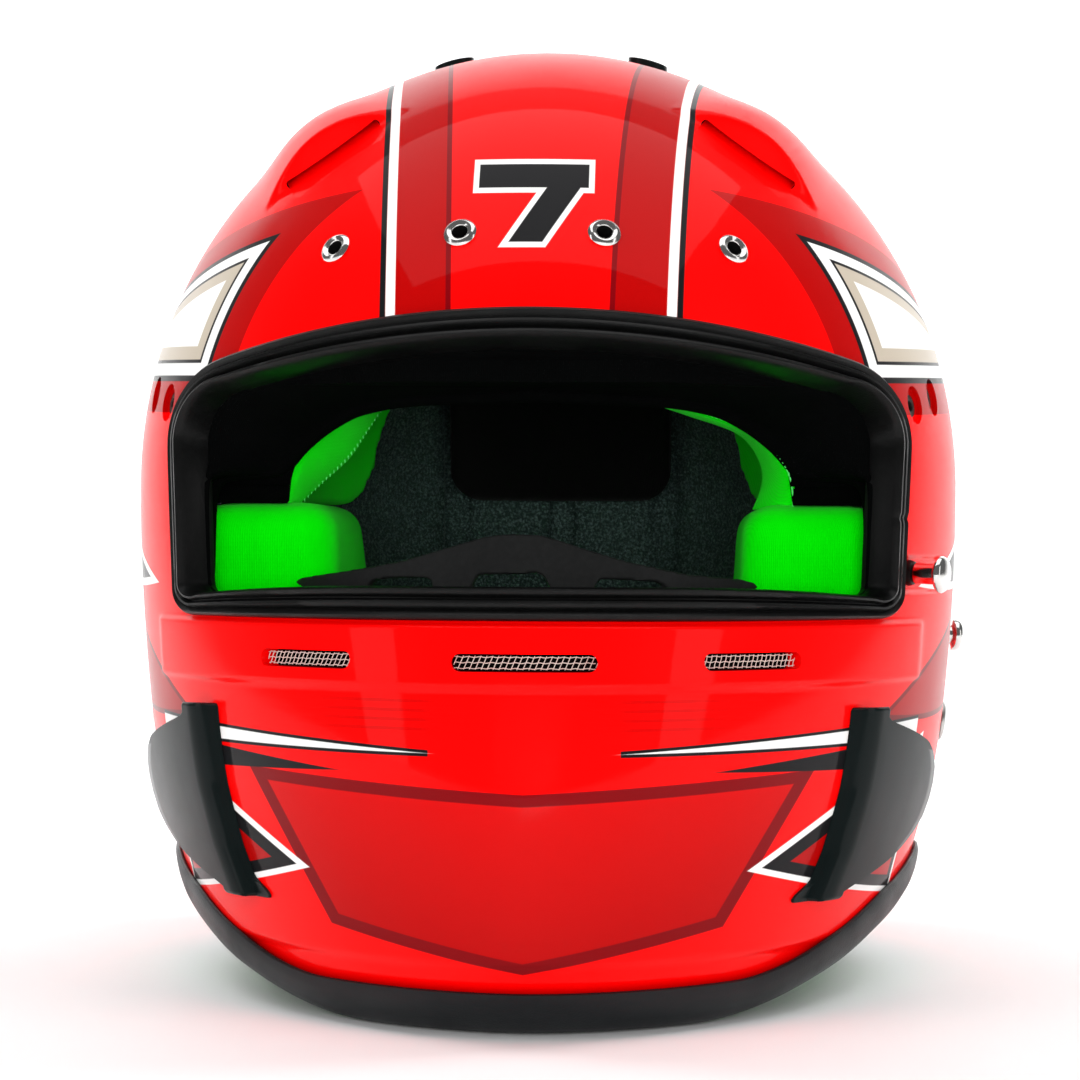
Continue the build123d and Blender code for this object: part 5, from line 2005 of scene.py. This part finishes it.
@dataclass
class Padding:
    """The padded pieces: soft forms over the frame's cushions, with seams and stitches."""

    voxel: float = 0.0022
    rounds: int = 14
    seam_across: float = 0.0582
    seam_lean: float = 0.09
    tuck_from: float = 0.054
    tuck_to: float = 0.082
    seam_low: float = 0.078
    seam_high: float = 0.1345

    def soft(self, node: str, name: str, finish: Finish, slot: str, fill: float,
             voxel: float | None = None) -> Item:
        """A softened piece over one cushion.

        Args:
            node: The frame's cushion.
            name: The piece's name.
            finish: Its finish.
            slot: Not used.
            fill: Not used.
            voxel: The size of its facets before smoothing.

        Returns:
            The piece.
        """
        item = copy_of(node, name)
        soften(item, voxel or self.voxel, 0.6, self.rounds)
        tidy(item, 80.0)
        return dress(item, finish, [node])

    def web(self, side: Side) -> None:
        """One chin strap's webbing, with softened edges.

        Args:
            side: Which side.
        """
        item = copy_of(f"chin_strap_{side.word}", f"strap_web_{side.word}")
        soften(item, 0.0006, 0.4, 3)
        tidy(item, 70.0)
        dress(item, STRAP, [f"chin_strap_{side.word}"])

    def tuck(self, cheek: Item) -> None:
        """Draws a cheek cushion's inner face outwards, more at its top.

        Args:
            cheek: The cushion.
        """
        points = points_of(cheek)
        across = np.abs(points[:, 0])
        share = 1 - smooth_step(across, self.tuck_from, self.tuck_to)
        high = smooth_step(points[:, 2], self.seam_low, self.seam_high)
        points[:, 0] += np.sign(points[:, 0]) * share * (0.0055 + 0.0025 * high)
        move_points(cheek, points)
        bpy.context.view_layer.update()

    def seam(self, cheek: Item, side: Side) -> None:
        """The stitched seam down a cheek cushion's front, near its inner edge.

        Args:
            cheek: The cushion.
            side: Which side.
        """
        route = []
        for height in np.linspace(self.seam_low, self.seam_high, 60):
            across = side.value * (self.seam_across + (height - self.seam_high) * self.seam_lean)
            hit, place, _, _ = cheek.ray_cast(Vector((across, -0.2, height)), Vector((0.0, 1.0, 0.0)))
            if hit:
                route.append(np.array(place[:]) - np.array([0.0, 0.00005, 0.0]))
        item = StitchRun().build(f"cheek_seam_{side.word}", route, 0.0019, 0.0019, 0.00022)
        dress(item, SEAM_THREAD)

    @staticmethod
    def round_foot(item: Item, radius: float) -> None:
        """Rounds the two lower corners of a pad that hangs on the rear wall.

        Args:
            item: The pad.
            radius: The radius of its corners.
        """
        points = points_of(item)
        half, low = np.abs(points[:, 0]).max(), points[points[:, 1] > 0.06][:, 2].min()
        gap = np.column_stack([np.abs(points[:, 0]) - (half - radius), low + radius - points[:, 2]])
        reach = np.linalg.norm(gap, axis=1)
        out = (gap > 0).all(axis=1) & (reach > radius) & (points[:, 1] > 0.06)
        share = radius / reach[out]
        points[out, 0] = np.sign(points[out, 0]) * (half - radius + gap[out, 0] * share)
        points[out, 2] = low + radius - gap[out, 1] * share
        move_points(item, points)

    def build(self) -> None:
        """Makes every padded piece."""
        for side in Side:
            cheek = self.soft(f"cheek_pad_{side.word}", f"cheek_cushion_{side.word}",
                              GREEN, "green_fabric", 0.9)
            self.tuck(cheek)
            self.seam(cheek, side)
            self.soft(f"headliner_side_{side.word}", f"side_cushion_{side.word}",
                      GREEN, "green_fabric", 0.7, 0.0016)
            self.web(side)
        centre = self.soft("headliner_centre", "centre_cushion", BLACK_KNIT, "black_fabric", 0.7, 0.0018)
        self.round_foot(centre, 0.011)
        self.soft("brow_pad", "brow_cushion", BLACK_KNIT, "black_fabric", 0.7, 0.0016)
        self.soft("neck_roll", "neck_cushion", BLACK_KNIT, "black_fabric", 0.9)


@dataclass
class Flaps:
    """The green cloth flaps that tuck in beside the face opening, with their stitches."""

    thick: float = 0.0022
    outer_right: tuple[Place, ...] = (
        (-73.2, -66, 139.5), (-71.4, -69.5, 147.7), (-68.1, -71, 156.3), (-61.1, -72.5, 163.4),
        (-48, -74, 168.3),
    )
    inner_right: tuple[Place, ...] = (
        (-72.2, -46, 140.2), (-64.3, -47.5, 147.3), (-56.5, -49, 154.1), (-52.5, -50.5, 160),
        (-47.5, -52, 168.3),
    )
    outer_left: tuple[Place, ...] = (
        (73.8, -66, 139), (71.5, -72, 150.2), (63.6, -76, 159.2), (49.3, -80, 165.5), (33.1, -84, 170.5),
    )
    inner_left: tuple[Place, ...] = (
        (61.7, -46, 139.2), (64.4, -52, 149.8), (59.2, -58, 159.8), (47.8, -64, 164.8), (33.1, -70, 169.2),
    )

    @staticmethod
    def smooth(places: Sequence[Place], count: int = 40) -> Array:
        """A smooth run of points through places.

        Args:
            places: The points to pass, in millimetres.
            count: How many points the run has.

        Returns:
            The run's points.
        """
        knots = np.array(places) * MM
        steps = run_lengths(knots)
        where = np.linspace(0, steps[-1], count)
        return np.stack([clamped_spline(steps, knots[:, k], where) for k in range(3)], axis=1)

    def build(self) -> None:
        """Makes both flaps and their rows of stitches."""
        sides = {Side.RIGHT: (self.outer_right, self.inner_right),
                 Side.LEFT: (self.outer_left, self.inner_left)}
        for side, (outer, inner) in sides.items():
            first, last = self.smooth(outer), self.smooth(inner)
            rows = []
            for share in np.linspace(0, 1, 14):
                puff = 0.0022 * math.sin(math.pi * share)
                crinkle = 0.0003 * np.sin(np.linspace(0, 9, len(first)) + 2.0 * share)[:, None]
                rows.append(first + (last - first) * share - np.array([0.0, 1.0, 0.0]) * (puff + crinkle))
            item = pillow(f"flap_{side.word}", np.stack(rows), self.thick, 4.0)
            dress(item, GREEN)
            lift = np.array([0.0, -self.thick * 0.7, 0.0])
            near = 1 if side is Side.LEFT else 12
            hem = StitchRun().build(f"flap_stitches_{side.word}", rows[near] + lift,
                                    0.0015, 0.003, 0.00028, 0.9)
            dress(hem, THREAD)


@dataclass
class FaceLining:
    """The black cloth that lines the face opening, from the seal to its arched edge."""

    thick: float = 0.0016
    count: int = 61
    middle: Place = (0.0, 0.0, 0.128)
    edge: tuple[Place, ...] = (
        (96.5, -78, 113), (96.2, -78, 140), (94.8, -78, 147.5), (75.5, -75, 149.2), (71.2, -76, 155.5),
        (63.6, -80, 161.8), (54.3, -86, 167), (43.2, -92, 169.4), (34, -96, 170.3), (0, -100, 172),
    )

    def inner_edge(self) -> Array:
        """The arched edge over one side, evenly spaced, from the foot to the top.

        Returns:
            The edge's points.
        """
        points = np.array(self.edge) * MM
        steps = run_lengths(points)
        where = np.linspace(0, steps[-1], self.count)
        even = np.stack([np.interp(where, steps, points[:, k]) for k in range(3)], axis=1)
        for _ in range(3):
            even[1:-1] = (even[:-2] + 2 * even[1:-1] + even[2:]) / 4
        return even

    def outer_edge(self, inner: Array) -> Array:
        """The edge behind the seal, matched to the arch by its turn round the middle.

        Args:
            inner: Points of the arched edge.

        Returns:
            One point behind the seal for each.
        """
        flat = PORT.drawn_in(0.0086)
        flat = flat[flat[:, 0] > -0.002]
        ring = np.column_stack([flat[:, 0], FORM.front_y(flat[:, 0], flat[:, 1]), flat[:, 1]])
        ring = ring - FORM.normal(ring) * 0.0066
        turn = np.arctan2(ring[:, 2] - self.middle[2], ring[:, 0])
        order = np.argsort(turn)
        wanted = np.arctan2(inner[:, 2] - self.middle[2], inner[:, 0])
        wanted[-1] = math.pi / 2
        return np.stack([np.interp(wanted, turn[order], ring[order, k]) for k in range(3)], axis=1)

    def build(self) -> None:
        """Makes the lining."""
        inner = self.inner_edge()
        outer = self.outer_edge(inner)
        rows = []
        for share in np.linspace(0, 1, 12):
            bulge = 0.003 * math.sin(math.pi * share)
            rows.append(outer + (inner - outer) * share + np.array([0.0, -bulge, 0.0]))
        inward = inner - np.array(self.middle)
        inward[:, 1] = 0.0
        inward = -inward / np.linalg.norm(inward, axis=1, keepdims=True)
        for turn in np.linspace(0.25, 1.0, 5):
            angle = turn * math.pi / 2
            lift = np.array([0, 0.003 * (1 - math.cos(angle)), 0])
            rows.append(inner + inward * 0.003 * math.sin(angle) + lift)
        for back in (0.007, 0.012, 0.018):
            rows.append(inner + inward * (0.003 - back * 0.15) + np.array([0.0, back, 0.0]))
        half = np.stack(rows)
        other = half[:, ::-1][:, 1:] * np.array([-1.0, 1.0, 1.0])
        item = pillow("face_lining", np.concatenate([half, other], axis=1), self.thick, 24.0)
        dress(item, LINING_CLOTH)


@dataclass
class Deflector:
    """The soft breath deflector over the chin bar, with its three windows."""

    thick: float = 0.0024
    inset: float = 0.0276
    voxel: float = 0.0006
    outline: Pairs = (
        (-66.8, 116.8), (-67.6, 117.7), (-66.4, 118.7), (-61.1, 119.6), (-53, 120.7), (-44.6, 122.1),
        (-36, 123.7), (-29, 125.6), (-19.9, 128.3), (-12.5, 130.5), (-4.9, 131.3), (2.8, 130.9),
        (7.8, 129.5), (13, 127.7), (25.8, 123.9), (42.2, 120.5), (56.7, 119.2), (60.8, 118.1), (61.5, 117),
        (60.5, 116), (58, 114), (55, 101), (50, 96), (-50, 96), (-55, 101), (-58, 113.5), (-63, 115.5),
    )
    windows: tuple[Pairs, ...] = (
        ((-46.2, 106), (-45.6, 114.5), (-44.2, 117.8), (-42.5, 118.7), (-29, 119.4), (-26.9, 118.4),
         (-26.3, 106)),
        ((-16.8, 106), (-16.5, 115), (-14.6, 119.6), (-13.5, 120.2), (2, 120.7), (3.5, 120),
         (6, 115), (6.4, 106)),
        ((16.8, 106), (17, 115.5), (17.7, 118.6), (18.8, 119.2), (33.5, 118.5), (35, 117.8),
         (36.8, 115.5), (37.5, 106)),
    )

    def bend(self, flat: Array) -> Array:
        """Lays flat points on the chin liner.

        Args:
            flat: Flat points and their lift.

        Returns:
            The final points.
        """
        y = FORM.front_y(flat[:, 0], flat[:, 1], -self.inset)
        place = np.column_stack([flat[:, 0], y, flat[:, 1]])
        return place + FORM.normal(place) * flat[:, 2:3]

    def build(self) -> None:
        """Makes the deflector."""
        outlines = [np.array(line) * MM for line in (self.outline, *self.windows)]
        item = plate("deflector_soft", outlines, self.thick, self.voxel, self.bend)
        dress(item, DEFLECTOR_RUBBER, ["breath_deflector"])


@dataclass
class CarriedParts:
    """The frame's own pieces whose shape is right: they only get their finish."""

    room_across: tuple[float, float] = (0.07, 0.0962)
    room_heights: tuple[float, float] = (0.112, 0.1455)
    room_rear: float = 0.0695
    lined_before: float = -0.05

    def finish_node(self, node: str, finish: Finish) -> None:
        """Gives one frame node its finish.

        Args:
            node: The node.
            finish: Its finish.
        """
        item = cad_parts[node]
        item.data.materials.clear()
        item.data.materials.append(finish.material())
        LOG.info("%s: finish %s", node, finish.name)

    def crown(self) -> None:
        """Makes the crown liner, with the room that the cheek cushions' outer corners fill."""
        item = copy_of("crown_liner", "crown_foam")
        low, high = self.room_heights
        near, far = self.room_across
        tools = []
        for side in Side:
            spot = Spot((0, 0, 0), (side.value, 0, 0), UP, (0, -1, 0))
            box = np.array([(near, low), (far, low), (far, high), (near, high)])
            tools.append(prism("room_tool", box, self.room_rear, 0.13, spot))
        cut(item, tools)
        tidy(item, 40.0, 1e-7)
        dress(item, FOAM, ["crown_liner"])
        self.line_front(item.data)

    def line_front(self, mesh: bpy.types.Mesh) -> None:
        """Gives the faces that lie towards the face opening the lining's cloth.

        Args:
            mesh: The piece's mesh.
        """
        mesh.materials.append(LINING_CLOTH.material())
        lined = [int(face.center.y < self.lined_before) for face in mesh.polygons]
        mesh.polygons.foreach_set("material_index", lined)

    def build(self) -> None:
        """Gives every carried piece its finish."""
        self.crown()
        for finish, nodes in (
            (FOAM, ("chin_liner", "cheek_block_left", "cheek_block_right")),
            (STEEL, ("anchor_nuts", "visor_lock_nut", "strap_washers", "d_ring_outer", "d_ring_inner")),
            (GLOSS_BLACK, ("top_vent_left", "top_vent_right")),
        ):
            for node in nodes:
                self.finish_node(node, finish)
        self.line_front(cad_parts["chin_liner"].data)


@dataclass
class Studio:
    """The pale floor, the soft lights and the camera at the photograph's angle."""

    distance: float = 0.95
    camera_height: float = 0.127
    yaw: float = 2.2
    roll: float = 0.3
    focal_pixels: float = 3063.0
    frame_pixels: float = 1080.0
    middle_column: float = 548.5
    horizon_row: float = 550.0
    sensor: float = 36.0

    def camera(self) -> None:
        """Sets the camera where the photograph was taken from."""
        data = bpy.data.cameras.new("camera")
        data.sensor_width = self.sensor
        data.lens = self.focal_pixels / self.frame_pixels * self.sensor
        middle = self.frame_pixels / 2
        data.shift_x = -(self.middle_column - middle) / self.frame_pixels
        data.shift_y = (self.horizon_row - middle) / self.frame_pixels
        data.clip_start = 0.05
        data.clip_end = 50.0
        item = link("camera", data)
        turn = math.radians(self.yaw)
        right = Vector((math.cos(turn), math.sin(turn), 0.0))
        ahead = Vector((-math.sin(turn), math.cos(turn), 0.0))
        up = Vector(UP)
        tilt = math.radians(self.roll)
        across = right * math.cos(tilt) + up * math.sin(tilt)
        above = up * math.cos(tilt) - right * math.sin(tilt)
        matrix = Matrix((across, above, -ahead)).transposed().to_4x4()
        matrix.translation = -ahead * self.distance + up * self.camera_height
        item.matrix_world = matrix
        bpy.context.scene.camera = item

    def light(self, name: str, place: Place, size: tuple[float, float], power: float,
              mirrored: bool = False, aim_at: Place = (0.0, 0.0, 0.14)) -> None:
        """A soft rectangular light.

        Args:
            name: Its name.
            place: Where it stands.
            size: Its width and height.
            power: Its power in watts.
            mirrored: Whether glossy faces show it.
            aim_at: What it faces.
        """
        data = bpy.data.lights.new(name, "AREA")
        data.shape = "RECTANGLE"
        data.size, data.size_y = size
        data.energy = power
        item = link(name, data)
        aim = Vector(aim_at) - Vector(place)
        item.rotation_euler = aim.to_track_quat("-Z", "Y").to_euler()
        item.location = place
        item.visible_glossy = mirrored

    def floor(self) -> None:
        """A pale floor that curves up behind the helmet."""
        half, back, rise, bend = 4.0, 2.2, 3.0, 0.8
        profile = [(-3.5, 0.0), (back - bend, 0.0)]
        profile += [(back - bend + bend * math.sin(a), bend - bend * math.cos(a))
                    for a in np.linspace(0, math.pi / 2, 12)[1:]]
        profile.append((back, rise))
        grid = np.array([[(x, y, z - 0.0004) for y, z in profile] for x in (-half, half)])
        item = grid_piece("floor", grid, False, False)
        item.data.materials.append(Finish("pale_floor", (0.9, 0.9, 0.9), 0.6).material())

    def world(self) -> None:
        """An even pale surround."""
        world = bpy.data.worlds.new("surround")
        world.use_nodes = True
        back = world.node_tree.nodes["Background"]
        back.inputs["Color"].default_value = (1.0, 1.0, 1.0, 1.0)
        back.inputs["Strength"].default_value = 0.12
        bpy.context.scene.world = world

    def build(self) -> None:
        """Sets up the whole studio."""
        bpy.context.scene.view_settings.view_transform = "Standard"
        self.camera()
        self.floor()
        self.world()
        self.light("fill", (0.0, -2.4, 0.55), (1.8, 1.2), 22.0)
        self.light("low_fill", (0.12, -1.4, 0.17), (0.5, 0.3), 5.0)
        for side in Side:
            self.light(f"key_{side.word}", (side.value * 1.5, -0.9, 0.7), (1.0, 1.6), 7.0)
            self.light(f"strip_{side.word}", (side.value * 1.9, -1.1, 0.5), (0.5, 1.6), 3.0, True)
            self.light(f"back_{side.word}", (side.value * 1.6, 0.9, 1.9), (1.2, 1.2), 48.0,
                       aim_at=(0.0, 2.6, 0.6))
        self.light("top", (0.0, -0.1, 1.7), (2.2, 1.6), 15.0, True)


def main() -> None:
    """Builds every piece round the frame."""
    logging.basicConfig(level=logging.INFO, format="%(name)s %(message)s")
    Studio().build()
    shell = OuterShell()
    shell.build()
    EyeportSeal().build()
    BaseTrim().build()
    for side in Side:
        Winglet().build(side)
    Hardware().build()
    ChinVents().build(shell)
    Padding().build()
    Flaps().build()
    FaceLining().build()
    Deflector().build()
    CarriedParts().build()


if __name__ == "__main__":
    main()
